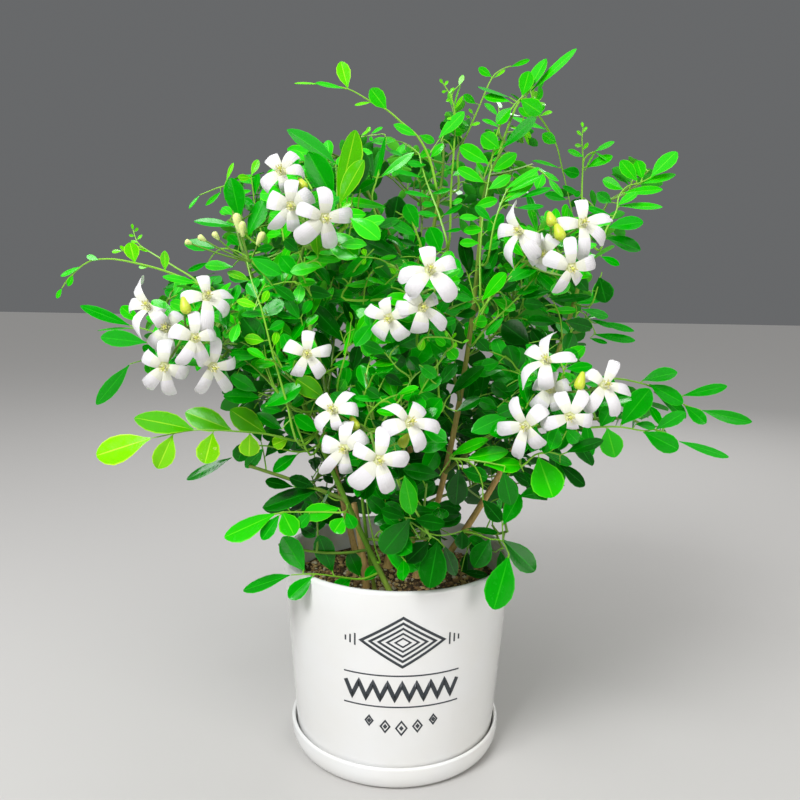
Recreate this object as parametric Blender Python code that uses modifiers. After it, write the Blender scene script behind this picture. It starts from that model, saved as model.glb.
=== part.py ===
"""Potted orange jasmine: a flowering shrub on several stems, in a round tapered pot on its saucer.

Sizes in this file are millimetres, and each finished mesh is scaled to metres. +Z is up, and the
origin is the centre of the saucer's flat underside. The front of the plant faces -Y.
"""

import math
import random

import bmesh
import bpy
from mathutils import Matrix, Vector
from mathutils.bvhtree import BVHTree

MM = 0.001
GAP = 0.3
MERGE = 0.0001
UP = Vector((0.0, 0.0, 1.0))

# Pot and saucer, turned shapes of glazed ware
POT_RIM_RADIUS = 70.0
POT_BASE_RADIUS = 61.0
POT_TOP = 119.0
POT_WALL = 4.0
POT_FLOOR = 6.0
SAUCER_FLOOR = 3.0
SAUCER_TOP = 14.0
SAUCER_RADIUS = 65.0
SAUCER_LIP = 2.3
SAUCER_FOOT_RADIUS = 59.5
TURNED_STEPS = 32

# Potting mix, filled to 18 mm under the rim
SOIL_TOP = 101.0
SOIL_EDGE_DROP = 1.6
SOIL_EDGE_WIDTH = 5.0

# Stems: name, foot (x, y) on the soil, elbow, tip, radius above the flare, radius at the tip
STEMS = (
    ("stem_left", (-2, -44), (-46, -37, 190), (-84, -32, 288), 2.5, 1.2),
    ("stem_slender", (-13, -30), (-19, -33, 140), (-21, -48, 178), 1.5, 0.9),
    ("stem_centre", (13, -2), (42, 2, 205), (46, 2, 325), 2.8, 1.2),
    ("stem_right", (27, 6), (98, 26, 205), (112, 22, 296), 2.7, 1.2),
    ("stem_tall", (-6, 14), (6, 12, 240), (22, 14, 338), 2.4, 1.1),
    ("stem_back", (10, 34), (4, 62, 200), (12, 80, 308), 2.6, 1.2),
    ("stem_back_left", (-26, 18), (-52, 54, 190), (-76, 84, 256), 2.4, 1.1),
)
LEAD_IN = 1.5
STEM_FLARE = ((0.0, 1.75), (1.4, 1.35), (4.0, 1.12))
STEM_POINTS = 7
STEM_SIDES_RESOLUTION = 1
BOUGH_POINTS = 4
BOUGH_SIDES_RESOLUTION = 1
BOUGH_FOOT_RADIUS = 1.6
BOUGH_SHARE = 0.8
BOUGH_TIP_RADIUS = 0.9
BOUGH_LEAN = math.radians(42)
TWIG_LEAN = math.radians(75)
ELBOW_SHARE = 0.45
CURVE_SLACK = 0.1

# Foliage masses, with a bough ending this share of the radius short of the centre
MASS_EDGE = 0.62
# Each mass: name, limb, place along it (1 is its tip), centre, radius of the space, fronds
MASSES = (
    ("foliage_upper_left_front", "stem_left", 0.78, (-46, -62, 314), 42, 3),
    ("foliage_left_front", "stem_left", 0.62, (-103, -62, 254), 42, 3),
    ("foliage_inner_left_front", "stem_left", 0.50, (-46, -64, 254), 38, 3),
    ("foliage_centre_front", "stem_centre", 0.50, (8, -72, 274), 42, 4),
    ("foliage_upper_right_front", "stem_centre", 0.72, (72, -58, 302), 42, 3),
    ("foliage_right_front", "stem_centre", 0.30, (82, -58, 226), 44, 3),
    ("foliage_low_centre_front", "stem_slender", 1.0, (-12, -78, 206), 42, 3),
    ("foliage_low_left", "stem_left", 0.32, (-106, -50, 190), 42, 1),
    ("foliage_low_left_rim", "stem_left", 0.17, (-70, -50, 140), 40, 2),
    ("foliage_low_front", "stem_slender", 0.45, (14, -72, 150), 40, 3),
    ("foliage_low_right_rim", "stem_right", 0.11, (64, -46, 148), 42, 2),
    ("foliage_low_back_right", "stem_back", 0.12, (62, 62, 152), 44, 3),
    ("foliage_low_back_left", "stem_back_left", 0.14, (-64, 48, 148), 44, 4),
    ("foliage_left", "stem_left", 0.84, (-142, -8, 264), 40, 1),
    ("foliage_right", "stem_right", 0.48, (148, -6, 208), 40, 0),
    ("foliage_right_middle", "stem_right", 0.78, (142, 24, 262), 40, 4),
    ("foliage_upper_right", "stem_right", 1.0, (124, 12, 334), 42, 2),
    ("foliage_upper_left", "stem_left", 1.0, (-96, -14, 324), 42, 3),
    ("foliage_top_left", "stem_tall", 0.74, (-34, 4, 356), 42, 2),
    ("foliage_top_centre", "stem_tall", 1.0, (22, 16, 372), 36, 2),
    ("foliage_top_right", "stem_centre", 1.0, (64, 2, 368), 40, 1),
    ("foliage_top_back", "stem_back", 1.0, (14, 82, 346), 46, 3),
    ("foliage_back_right", "stem_back", 0.72, (88, 86, 284), 46, 3),
    ("foliage_back_left", "stem_back_left", 1.0, (-82, 92, 292), 46, 3),
    ("foliage_back_centre", "stem_back", 0.55, (4, 128, 250), 46, 3),
    ("foliage_back_low_right", "stem_back", 0.34, (96, 82, 210), 44, 3),
    ("foliage_back_low_left", "stem_back_left", 0.55, (-88, 90, 208), 44, 4),
    ("foliage_back_low", "stem_back", 0.22, (2, 112, 172), 42, 3),
    ("foliage_left_back", "stem_back_left", 0.80, (-130, 52, 244), 40, 2),
    ("foliage_inner_left", "stem_tall", 0.52, (-34, 18, 286), 38, 3),
    ("foliage_inner_right", "stem_centre", 0.62, (72, 34, 272), 36, 3),
)
# Masses whose stem leaves the limb's side with no bough between
ON_LIMB = (
    "foliage_inner_left_front",
    "foliage_inner_left",
    "foliage_inner_right",
    "foliage_low_front",
    "foliage_low_left_rim",
)

# Sprays that give the crown its outline: mass, tip, leaflets, leaflet length
SPRAYS = (
    ("foliage_left", (-196, -20, 271), 6, 15),
    ("foliage_left", (-153, -20, 308), 4, 12),
    ("foliage_left", (-183, -22, 250), 4, 28),
    ("foliage_left", (-169, -34, 216), 3, 28),
    ("foliage_low_left", (-160, -60, 192), 8, 27),
    ("foliage_low_left", (-108, -58, 172), 4, 28),
    ("foliage_low_left_rim", (-91, -62, 148), 5, 27),
    ("foliage_low_left_rim", (-82, -60, 121), 3, 26),
    ("foliage_low_front", (20, -92, 132), 5, 28),
    ("foliage_low_right_rim", (55, -76, 114), 3, 31),
    ("foliage_low_right_rim", (78, -62, 137), 4, 28),
    ("foliage_right_front", (72, -92, 190), 4, 30),
    ("foliage_right", (213, 0, 205), 6, 28),
    ("foliage_right", (197, -12, 184), 4, 26),
    ("foliage_right", (187, 12, 224), 4, 26),
    ("foliage_right", (146, -24, 233), 4, 26),
    ("foliage_upper_right", (160, 10, 360), 6, 22),
    ("foliage_upper_right", (140, -2, 312), 4, 24),
    ("foliage_upper_right", (112, 18, 378), 4, 15),
    ("foliage_top_right", (98, 0, 414), 5, 24),
    ("foliage_top_right", (79, 12, 400), 4, 24),
    ("foliage_top_right", (55, 16, 409), 5, 20),
    ("foliage_top_centre", (21, 10, 400), 4, 17),
    ("foliage_top_left", (-63, 0, 394), 5, 18),
    ("foliage_top_left", (-33, -26, 366), 4, 26),
    ("foliage_upper_left", (-120, -22, 326), 4, 20),
    ("foliage_upper_left", (-66, -24, 359), 4, 26),
    ("foliage_back_right", (152, 112, 312), 5, 24),
    ("foliage_back_left", (-142, 118, 318), 5, 24),
    ("foliage_back_centre", (-12, 184, 262), 5, 26),
    ("foliage_back_low_right", (150, 112, 192), 5, 26),
    ("foliage_left_back", (-182, 62, 232), 5, 26),
    ("foliage_top_back", (36, 112, 396), 5, 22),
)

# Open flowers by cluster: mass, depth of the cluster, then across and height of each flower
FLOWERS = (
    ("foliage_upper_left_front", -92, ((-59, 331), (-52, 315), (-36, 309))),
    ("foliage_left_front", -86, ((-124, 268), (-93, 274), (-98, 254), (-114, 240), (-90, 240), (-112, 256))),
    ("foliage_centre_front", -108, ((12, 285), (9, 269), (-6, 263))),
    ("foliage_upper_right_front", -93, ((54, 304), (83, 310), (77, 289), (69, 300))),
    ("foliage_right_front", -99, ((68, 246), (57, 218), (80, 221), (96, 232), (70, 231))),
    ("foliage_low_centre_front", -115, ((-31, 222), (-25, 206), (-9, 202), (4, 218))),
    ("foliage_inner_left_front", -98, ((-43, 247),)),
)
FLOWER_RADIUS = 13.5
FLOWER_CENTRE_RADIUS = 3.6
FLOWER_THICKNESS = 1.4
FLOWER_CLEARANCE = 12.0
FLOWER_VIEW_DEPTH = 42.0

# Fronds: a rachis with leaflets on alternate sides and one at its end
FROND_LEAFLETS = 5
FROND_POINTS = 3
LEAFLET_LENGTH = 33.0
LEAFLET_WIDTH_RATIO = 0.6
LEAFLET_THICKNESS = 0.9
LEAFLET_SPLAY = math.radians(56)
LEAFLET_TRIES = (1.0, 0.84, 0.7)
LEAFLET_TILT = 0.35
FACES_UP = 0.6
FACES_OUT = 0.7
FIRST_LEAFLET = 0.28
FROND_ARCH = 0.16
LEAFLET_SINK = 0.3
FROND_RADII = (0.95, 0.75)
MASS_STEM_RADII = (1.7, 1.4)
MASS_STEM_POINTS = 3
PEDUNCLE_RADII = (1.2, 1.0)
PEDICEL_RADII = (0.8, 0.65)
STALK_OFFSET = 1.6
GOLDEN_ANGLE = math.pi * (3.0 - math.sqrt(5.0))
CELL_MARGIN = 0.5
WELD = 0.0005
LIMB_CLEARANCE = 0.6
SEED = 41

GLAZE_WHITE = "EDEEEC"
BARK_BROWN = "8A7250"
YOUNG_STEM_GREEN = "7E8F45"
SOIL_BROWN = "5A4634"
LEAF_GREEN = "2F8A2C"
LIME_GREEN = "8CCB2E"
DEEP_GREEN = "1E6A24"


def clear_scene():
    for obj in list(bpy.data.objects):
        bpy.data.objects.remove(obj, do_unlink=True)


def new_collection(name):
    collection = bpy.data.collections.new(name)
    bpy.context.scene.collection.children.link(collection)
    return collection


def linear(hex_colour):
    """Linear RGBA of an sRGB hex colour."""
    channels = [int(hex_colour[i : i + 2], 16) / 255.0 for i in (0, 2, 4)]
    return [c / 12.92 if c <= 0.04045 else ((c + 0.055) / 1.055) ** 2.4 for c in channels] + [1.0]


def finish(obj, hex_colour, roughness):
    material = bpy.data.materials.new(obj.name + "_finish")
    material.use_nodes = True
    shader = material.node_tree.nodes["Principled BSDF"]
    shader.inputs["Base Color"].default_value = linear(hex_colour)
    shader.inputs["Roughness"].default_value = roughness
    shader.inputs["Metallic"].default_value = 0.0
    obj.data.materials.append(material)


def arc(centre, radius, start, end, count):
    """Points of a profile on an arc, with its angles in degrees from +X."""
    angles = [math.radians(start + (end - start) * i / (count - 1)) for i in range(count)]
    return [(centre[0] + radius * math.cos(a), centre[1] + radius * math.sin(a)) for a in angles]


def pot_radius(height):
    """Outer radius of the pot's tapered wall at a height."""
    base = SAUCER_FLOOR + GAP
    share = (height - base) / (POT_TOP - base)
    return POT_BASE_RADIUS + (POT_RIM_RADIUS - POT_BASE_RADIUS) * share


def pot_profile():
    base = SAUCER_FLOOR + GAP
    floor = base + POT_FLOOR
    half = POT_WALL / 2.0
    rim_centre = (POT_RIM_RADIUS - half, POT_TOP - half)
    foot_round = 2.5
    inside = [(0.0, floor), (pot_radius(floor) - POT_WALL, floor)]
    rim = arc(rim_centre, half, 180, 0, 5)
    foot = arc((POT_BASE_RADIUS - foot_round, base + foot_round), foot_round, 0, -90, 3)
    return inside + rim + foot + [(0.0, base)]


def saucer_profile():
    half = SAUCER_LIP / 2.0
    lip_centre = (SAUCER_RADIUS - half, SAUCER_TOP - half)
    inner_foot = SAUCER_RADIUS - SAUCER_LIP - 0.9
    inside = [(0.0, SAUCER_FLOOR), (inner_foot - 1.0, SAUCER_FLOOR), (inner_foot, SAUCER_FLOOR + 1.0)]
    lip = arc(lip_centre, half, 180, 0, 5)
    foot = [(SAUCER_RADIUS - 2.2, 2.6), (SAUCER_FOOT_RADIUS + 1.6, 0.6), (SAUCER_FOOT_RADIUS, 0.0)]
    return inside + lip + foot + [(0.0, 0.0)]


def soil_profile():
    floor = SAUCER_FLOOR + GAP + POT_FLOOR + GAP
    edge = SOIL_TOP - SOIL_EDGE_DROP
    top_radius = pot_radius(edge) - POT_WALL - GAP
    bottom_radius = pot_radius(floor) - POT_WALL - GAP
    top = [(0.0, SOIL_TOP), (top_radius - SOIL_EDGE_WIDTH, SOIL_TOP), (top_radius, edge)]
    return top + [(bottom_radius, floor), (0.0, floor)]


def turned(name, profile, parent, collection):
    """A solid of revolution: its profile runs from the axis, over the top and down the outer side."""
    mesh = bpy.data.meshes.new(name)
    points = [(r * MM, 0.0, z * MM) for r, z in profile]
    mesh.from_pydata(points, [(i, i + 1) for i in range(len(points) - 1)], [])
    obj = bpy.data.objects.new(name, mesh)
    obj.parent = parent
    collection.objects.link(obj)
    screw = obj.modifiers.new("turn", "SCREW")
    screw.axis = "Z"
    screw.steps = TURNED_STEPS
    screw.render_steps = TURNED_STEPS
    screw.use_merge_vertices = True
    screw.merge_threshold = MERGE
    screw.use_smooth_shade = True
    return obj


def bend(start, elbow, end, count):
    """Evenly stepped points of a quadratic curve, with both its ends."""
    steps = [i / (count - 1) for i in range(count)]
    return [start * (1 - t) ** 2 + elbow * (2 * t * (1 - t)) + end * t * t for t in steps]


def side_path(start, direction, elbow, end, count):
    """Points that leave a limb straight, so that the flat foot lies square to it, and then bend."""
    return [start] + bend(start + direction * LEAD_IN, elbow, end, count)


def tube(points, radii, sides, inflate=0.0):
    """Corners and faces of a tapering tube with flat ends, as used for twigs and for clearances."""
    corners = []
    faces = []
    for i, point in enumerate(points):
        along = (points[min(i + 1, len(points) - 1)] - points[max(i - 1, 0)]).normalized()
        across = along.cross(Vector((0.31, 0.17, 0.94))).normalized()
        other = along.cross(across)
        radius = radii[i] + inflate
        for k in range(sides):
            angle = 2.0 * math.pi * k / sides
            corners.append(point + across * (radius * math.cos(angle)) + other * (radius * math.sin(angle)))
    for i in range(len(points) - 1):
        for k in range(sides):
            low = i * sides + k
            low_next = i * sides + (k + 1) % sides
            faces.append((low, low_next, low_next + sides, low + sides))
    faces.append(tuple(reversed(range(sides))))
    faces.append(tuple(range(len(corners) - sides, len(corners))))
    return corners, faces


def ramp(start, end, count):
    return [start + (end - start) * i / (count - 1) for i in range(count)]


def limb_object(name, points, radii, resolution, parent, collection):
    """A stem or bough: a round tapering curve with flat ends, placed at its foot."""
    curve = bpy.data.curves.new(name, "CURVE")
    curve.dimensions = "3D"
    curve.bevel_depth = MM
    curve.bevel_resolution = resolution
    curve.use_fill_caps = True
    spline = curve.splines.new("POLY")
    spline.points.add(len(points) - 1)
    for spot, point, radius in zip(spline.points, points, radii):
        spot.co = ((point - points[0]) * MM).to_4d()
        spot.radius = radius
    spline.use_smooth = True
    obj = bpy.data.objects.new(name, curve)
    obj.location = points[0] * MM
    obj.parent = parent
    collection.objects.link(obj)
    return obj


def stem_path(foot, elbow, tip, radius, tip_radius):
    """Points and radii of a stem, from its flat cut on the soil up through its root flare."""
    base = Vector((foot[0], foot[1], SOIL_TOP + GAP))
    flare = [base + UP * height for height, _ in STEM_FLARE]
    rest = bend(flare[-1], Vector(elbow), Vector(tip), STEM_POINTS)[1:]
    radii = [radius * swell for _, swell in STEM_FLARE]
    return flare + rest, radii + ramp(radius, tip_radius, len(rest))


def place_on(path, share):
    """Point, direction and radius of a limb at a share of its length."""
    points, radii = path
    lengths = [(after - before).length for before, after in zip(points, points[1:])]
    left = share * sum(lengths)
    low = 0
    while low < len(lengths) - 1 and left > lengths[low]:
        left -= lengths[low]
        low += 1
    t = min(left / lengths[low], 1.0)
    point = points[low].lerp(points[low + 1], t)
    along = (points[low + 1] - points[low]).normalized()
    return point, along, radii[low] + (radii[low + 1] - radii[low]) * t


def leave_side(path, share, towards, radius, lean):
    """Where a side limb's flat foot starts, clear of the limb that carries it, and its direction."""
    point, along, limb_radius = place_on(path, share)
    aim = towards - point
    outward = (aim - along * aim.dot(along)).normalized()
    if aim.dot(along) < 0.0:
        lean = math.pi / 2.0
    direction = along * math.cos(lean) + outward * math.sin(lean)
    reach = (limb_radius + GAP + radius * math.cos(lean)) / math.sin(lean)
    return point + direction * (reach + CURVE_SLACK), direction


def bough_path(path, share, centre, space):
    """A bough from a limb's side to the edge of the space that its mass keeps to."""
    radius = min(place_on(path, share)[2] * BOUGH_SHARE, BOUGH_FOOT_RADIUS)
    start, direction = leave_side(path, share, centre, radius, BOUGH_LEAN)
    tip = centre - (centre - start).normalized() * (space * MASS_EDGE)
    elbow = start + direction * ((tip - start).length * ELBOW_SHARE)
    points = side_path(start, direction, elbow, tip, BOUGH_POINTS)
    return points, ramp(radius, BOUGH_TIP_RADIUS, len(points))


class Space:
    """The room that one mass keeps to: nearer its own centre than any other, and clear of every limb."""

    def __init__(self, centre, centres, obstacles):
        self.centre = centre
        self.others = [other for other in centres if (other - centre).length > 1.0]
        self.obstacles = obstacles
        self.placed = []

    def holds(self, corners):
        for other in self.others:
            apart = (other - self.centre).length
            for corner in corners:
                lead = (corner - other).length_squared - (corner - self.centre).length_squared
                if lead < 2.0 * apart * CELL_MARGIN:
                    return False
        return True

    def is_clear(self, corners, faces):
        return not BVHTree.FromPolygons(corners, faces).overlap(self.obstacles)

    def accepts(self, corners, faces):
        return self.holds(corners) and self.is_clear(corners, faces)

    def takes_leaf(self, corners, faces):
        """Accepts a leaf only where it also stays off the leaves and flowers already there."""
        if not self.accepts(corners, faces):
            return False
        tree = BVHTree.FromPolygons(corners, faces)
        if any(tree.overlap(other) for other in self.placed):
            return False
        self.placed.append(tree)
        return True


def solid_from_ball(segments, reshape):
    """Corners and faces of a coarse ball of the given segments, with each corner moved by a rule."""
    bm = bmesh.new()
    bmesh.ops.create_uvsphere(bm, u_segments=segments, v_segments=2, radius=1.0)
    bm.verts.index_update()
    corners = [reshape(vert.co.copy()) for vert in bm.verts]
    faces = [tuple(vert.index for vert in face.verts) for face in bm.faces]
    bm.free()
    return corners, faces


def leaflet(root, direction, normal, length):
    """An eight-faced leaflet, widest past its middle and thickest near its stalk."""
    side = direction.cross(normal).normalized()
    face = side.cross(direction).normalized()
    half_width = length * LEAFLET_WIDTH_RATIO / 2.0
    start = root - direction * LEAFLET_SINK
    full = length + LEAFLET_SINK

    def reshape(corner):
        if abs(corner.z) > 0.5:
            return start + direction * (full if corner.z > 0 else 0.0)
        if abs(corner.x) > 0.5:
            return start + direction * (full * 0.57) + side * (corner.x * half_width)
        return start + direction * (full * 0.3) + face * (corner.y * LEAFLET_THICKNESS / 2.0)

    return solid_from_ball(4, reshape)


def flower(centre, facing):
    """An open flower of five petals as a flat star, with its back sunk on its stalk."""
    across = facing.orthogonal().normalized()
    other = facing.cross(across)
    petal_points = 10

    def reshape(corner):
        if abs(corner.z) > 0.5:
            return centre + facing * (corner.z * FLOWER_THICKNESS / 2.0)
        turn = math.atan2(corner.y, corner.x)
        is_tip = round(turn / (2.0 * math.pi) * petal_points) % 2 == 0
        radius = FLOWER_RADIUS if is_tip else FLOWER_CENTRE_RADIUS
        return centre + across * (radius * math.cos(turn)) + other * (radius * math.sin(turn))

    return solid_from_ball(petal_points, reshape)


def flower_facing(spot, hub):
    """Flowers look out from the plant and away from the middle of their cluster."""
    spread = (spot - hub) / 30.0
    return (Vector((0.0, -1.0, 0.3)) + Vector((spread.x, 0.0, spread.z))).normalized()


def frond_tips(centre, heading, space, count, rng):
    """Tips of a mass's fronds, dealt round its heading by the golden angle."""
    across = heading.orthogonal().normalized()
    other = heading.cross(across)
    turn = rng.uniform(0.0, 2.0 * math.pi)
    tips = []
    for i in range(count):
        rise = 0.85 - 1.25 * (i + 0.5) / count
        ring = math.sqrt(1.0 - rise * rise)
        angle = turn + GOLDEN_ANGLE * i
        direction = heading * rise + across * (ring * math.cos(angle)) + other * (ring * math.sin(angle))
        tips.append(centre + direction * (space * rng.uniform(0.9, 1.1)))
    return tips


def frond(start, tip, leaflets, length, space, rng):
    """One frond's rachis and leaflets, or nothing where its rachis would leave the mass's space."""
    rachis_end = tip - (tip - start).normalized() * (length * 0.95)
    elbow = (start + rachis_end) / 2.0 + UP * ((rachis_end - start).length * FROND_ARCH)
    points = bend(start, elbow, rachis_end, FROND_POINTS)
    twig = tube(points, ramp(*FROND_RADII, FROND_POINTS), 3)
    if not space.accepts(*twig):
        return None
    outward = Vector((rachis_end.x, rachis_end.y, 0.0)).normalized()
    leaves = []
    for i in range(leaflets):
        is_last = i == leaflets - 1
        share = 1.0 if is_last else FIRST_LEAFLET + (0.96 - FIRST_LEAFLET) * i / (leaflets - 1)
        root, along, _ = place_on((points, [0.0] * FROND_POINTS), share)
        tilt = Vector([rng.uniform(-LEAFLET_TILT, LEAFLET_TILT) for _ in range(3)])
        facing = UP * FACES_UP + outward * FACES_OUT + tilt
        side = along.cross(facing).normalized() * (1 if i % 2 else -1)
        splay = 0.0 if is_last else LEAFLET_SPLAY + rng.uniform(-0.15, 0.15)
        direction = (along * math.cos(splay) + side * math.sin(splay)).normalized()
        size = length * rng.uniform(0.92, 1.08)
        for share in LEAFLET_TRIES:
            leaf = leaflet(root, direction, facing, size * share)
            if space.takes_leaf(*leaf):
                leaves.append(leaf)
                break
    return (twig, leaves) if leaves else None


def hides_flower(corners, spots):
    """True where a leaf would stand in front of an open flower."""
    middle = sum(corners, Vector()) / len(corners)
    for spot, facing in spots:
        ahead = (middle - spot).dot(facing)
        if 0.0 < ahead < FLOWER_VIEW_DEPTH and (middle - spot - facing * ahead).length < FLOWER_CLEARANCE:
            return True
    return False


def blossom(mass, stem_points, space):
    """The cluster's flowers, and the stalks that carry them from the end of the mass's stem."""
    pieces = []
    for name, depth, spots in FLOWERS:
        if name != mass:
            continue
        centres = [Vector((x, depth, z)) for x, z in spots]
        hub = sum(centres, Vector()) / len(centres)
        fork = stem_points[-1].lerp(hub, 0.7)
        pieces.append(tube([stem_points[-1], fork], PEDUNCLE_RADII, 3))
        for i, centre in enumerate(centres):
            facing = flower_facing(centre, hub)
            star = flower(centre, facing)
            foot = stem_points[-1].lerp(fork, 0.4 + 0.55 * (i + 0.5) / len(centres))
            stalk_end = centre + facing.orthogonal().normalized() * STALK_OFFSET
            pieces.append(tube([foot, stalk_end - facing * 0.1], PEDICEL_RADII, 3))
            pieces.append(star)
            space.placed.append(BVHTree.FromPolygons(*star))
    return pieces


def grow(name, root, heading, centre, radius, fronds, space, spots):
    """Stem, twigs, leaves and flowers of one mass, as closed shapes that overlap where they join."""
    rng = random.Random(f"{name}{SEED}")
    stem_end = centre + (centre - root).normalized() * (radius * 0.12)
    elbow = root + heading * ((stem_end - root).length * ELBOW_SHARE)
    points = side_path(root, heading, elbow, stem_end, MASS_STEM_POINTS)
    path = (points, ramp(*MASS_STEM_RADII, len(points)))
    pieces = [tube(*path, 3)] + blossom(name, points, space)
    ahead = ((centre - root).normalized() + UP * 0.35).normalized()
    tips = [(Vector(tip), count, length) for mass, tip, count, length in SPRAYS if mass == name]
    tips += [
        (tip, FROND_LEAFLETS, LEAFLET_LENGTH) for tip in frond_tips(centre, ahead, radius, fronds, rng)
    ]
    for i, (tip, count, length) in enumerate(tips):
        start, _, _ = place_on(path, 0.35 + 0.6 * (i + 0.5) / len(tips))
        grown = frond(start, tip, count, length, space, rng)
        if grown is None:
            continue
        twig, leaves = grown
        pieces.append(twig)
        pieces += [leaf for leaf in leaves if not hides_flower(leaf[0], spots)]
    return pieces


def piece_object(name, shape, origin, collection):
    mesh = bpy.data.meshes.new(name)
    mesh.from_pydata([corner - origin for corner in shape[0]], [], shape[1])
    obj = bpy.data.objects.new(name, mesh)
    collection.objects.link(obj)
    return obj


def island_volume(faces):
    """Signed volume inside a set of faces, negative where they wall in a hollow."""
    total = 0.0
    for face in faces:
        corners = [vert.co for vert in face.verts]
        for i in range(1, len(corners) - 1):
            total += corners[0].dot(corners[i].cross(corners[i + 1])) / 6.0
    return total


def islands(bm):
    """The faces of a mesh, grouped by what is joined."""
    left = set(bm.faces)
    groups = []
    while left:
        group = [left.pop()]
        for face in group:
            for edge in face.edges:
                if len(edge.link_faces) != 2:
                    continue
                for other in edge.link_faces:
                    if other in left:
                        left.remove(other)
                        group.append(other)
        groups.append(group)
    return groups


def keep_body(mesh):
    """Fills hollows that the union sealed and drops loose scraps, so that one body is left, in metres."""
    bm = bmesh.new()
    bm.from_mesh(mesh)
    bmesh.ops.remove_doubles(bm, verts=bm.verts, dist=WELD)
    bmesh.ops.triangulate(bm, faces=bm.faces)
    groups = sorted(islands(bm), key=island_volume)
    spare = [face for group in groups[:-1] for face in group]
    bmesh.ops.delete(bm, geom=spare, context="FACES")
    bm.transform(Matrix.Scale(MM, 4))
    bm.to_mesh(mesh)
    bm.free()


def joined(name, shapes, origin, parent, collection):
    """One solid from overlapping closed shapes, by a single union over a collection."""
    stem = piece_object(name, shapes[0], origin, collection)
    parts = new_collection(name + "_parts")
    for i, shape in enumerate(shapes[1:]):
        piece_object(f"{name}_part_{i}", shape, origin, parts)
    union = stem.modifiers.new("join", "BOOLEAN")
    union.operation = "UNION"
    union.operand_type = "COLLECTION"
    union.collection = parts
    union.solver = "EXACT"
    graph = bpy.context.evaluated_depsgraph_get()
    whole = bpy.data.meshes.new_from_object(stem.evaluated_get(graph))
    stem.modifiers.clear()
    stem.data = whole
    for part in list(parts.objects):
        bpy.data.objects.remove(part, do_unlink=True)
    bpy.data.collections.remove(parts)
    keep_body(whole)
    stem.location = origin * MM
    stem.parent = parent
    return stem


def ring_obstacle():
    """The pot's wall and the soil, a little oversize, for leaves to stay off."""
    sides = 24
    margin = 1.2
    wall_foot = 60.0
    low = SOIL_TOP + margin
    high = POT_TOP + margin
    profile = [
        (0.0, low),
        (pot_radius(low) - POT_WALL - margin, low),
        (POT_RIM_RADIUS - POT_WALL - margin, high),
        (POT_RIM_RADIUS + margin, high),
        (pot_radius(wall_foot) + margin, wall_foot),
    ]
    corners = []
    faces = []
    for i in range(sides):
        turn = 2.0 * math.pi * i / sides
        corners += [Vector((r * math.cos(turn), r * math.sin(turn), z)) for r, z in profile]
    count = len(profile)
    for i in range(sides):
        after = (i + 1) % sides
        for k in range(count - 1):
            faces.append((i * count + k, after * count + k, after * count + k + 1, i * count + k + 1))
    return corners, faces


def merged(shapes):
    """One list of corners and faces from several."""
    corners = []
    faces = []
    for part_corners, part_faces in shapes:
        base = len(corners)
        corners += part_corners
        faces += [tuple(base + i for i in face) for face in part_faces]
    return corners, faces


def build_limbs(parent, collection):
    """Makes the stems and boughs, and returns every path and where each mass starts."""
    paths = {}
    for name, foot, elbow, tip, radius, tip_radius in STEMS:
        paths[name] = stem_path(foot, elbow, tip, radius, tip_radius)
        obj = limb_object(name, *paths[name], STEM_SIDES_RESOLUTION, parent, collection)
        finish(obj, BARK_BROWN, 0.8)
    starts = {}
    for name, limb, share, centre, space, _ in MASSES:
        target = Vector(centre)
        if name in ON_LIMB:
            starts[name] = leave_side(paths[limb], share, target, MASS_STEM_RADII[0], TWIG_LEAN)
            continue
        if share == 1.0:
            end = paths[limb]
        else:
            bough = name.replace("foliage", "bough")
            paths[bough] = bough_path(paths[limb], share, target, space)
            obj = limb_object(bough, *paths[bough], BOUGH_SIDES_RESOLUTION, parent, collection)
            finish(obj, YOUNG_STEM_GREEN, 0.7)
            end = paths[bough]
        along = (end[0][-1] - end[0][-2]).normalized()
        starts[name] = (end[0][-1] + along * GAP, along)
    return paths, starts


def leaf_colour(name):
    if name == "foliage_low_left":
        return LIME_GREEN
    if "back" in name or "inner" in name:
        return DEEP_GREEN
    return LEAF_GREEN


def build_foliage(paths, starts, parent, collection):
    around = [tube(points, radii, 6, LIMB_CLEARANCE) for points, radii in paths.values()]
    obstacles = BVHTree.FromPolygons(*merged(around + [ring_obstacle()]))
    centres = [Vector(centre) for _, _, _, centre, _, _ in MASSES]
    spots = []
    for _, depth, places in FLOWERS:
        flowers = [Vector((x, depth, z)) for x, z in places]
        hub = sum(flowers, Vector()) / len(flowers)
        spots += [(spot, flower_facing(spot, hub)) for spot in flowers]
    for name, _, _, centre, radius, fronds in MASSES:
        root, heading = starts[name]
        space = Space(Vector(centre), centres, obstacles)
        shapes = grow(name, root, heading, Vector(centre), radius, fronds, space, spots)
        obj = joined(name, shapes, root, parent, collection)
        finish(obj, leaf_colour(name), 0.45)


def build():
    clear_scene()
    collection = new_collection("potted_orange_jasmine")
    parent = bpy.data.objects.new("potted_orange_jasmine", None)
    collection.objects.link(parent)
    finish(turned("saucer", saucer_profile(), parent, collection), GLAZE_WHITE, 0.25)
    finish(turned("pot", pot_profile(), parent, collection), GLAZE_WHITE, 0.25)
    finish(turned("soil", soil_profile(), parent, collection), SOIL_BROWN, 0.95)
    paths, starts = build_limbs(parent, collection)
    build_foliage(paths, starts, parent, collection)


build()
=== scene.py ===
"""A potted orange jasmine in flower: pot, saucer, soil, stems, boughs, twigs, leaves and blossom.

Lengths are millimetres, and meshes are scaled to metres as they are made. +Z is up, the front of the
plant faces -Y, and the origin is the centre of the saucer's flat underside.
"""

import functools
import itertools
import math
import random

import bpy
import numpy as np
from mathutils import Matrix, Vector, noise
from mathutils.bvhtree import BVHTree


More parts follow.
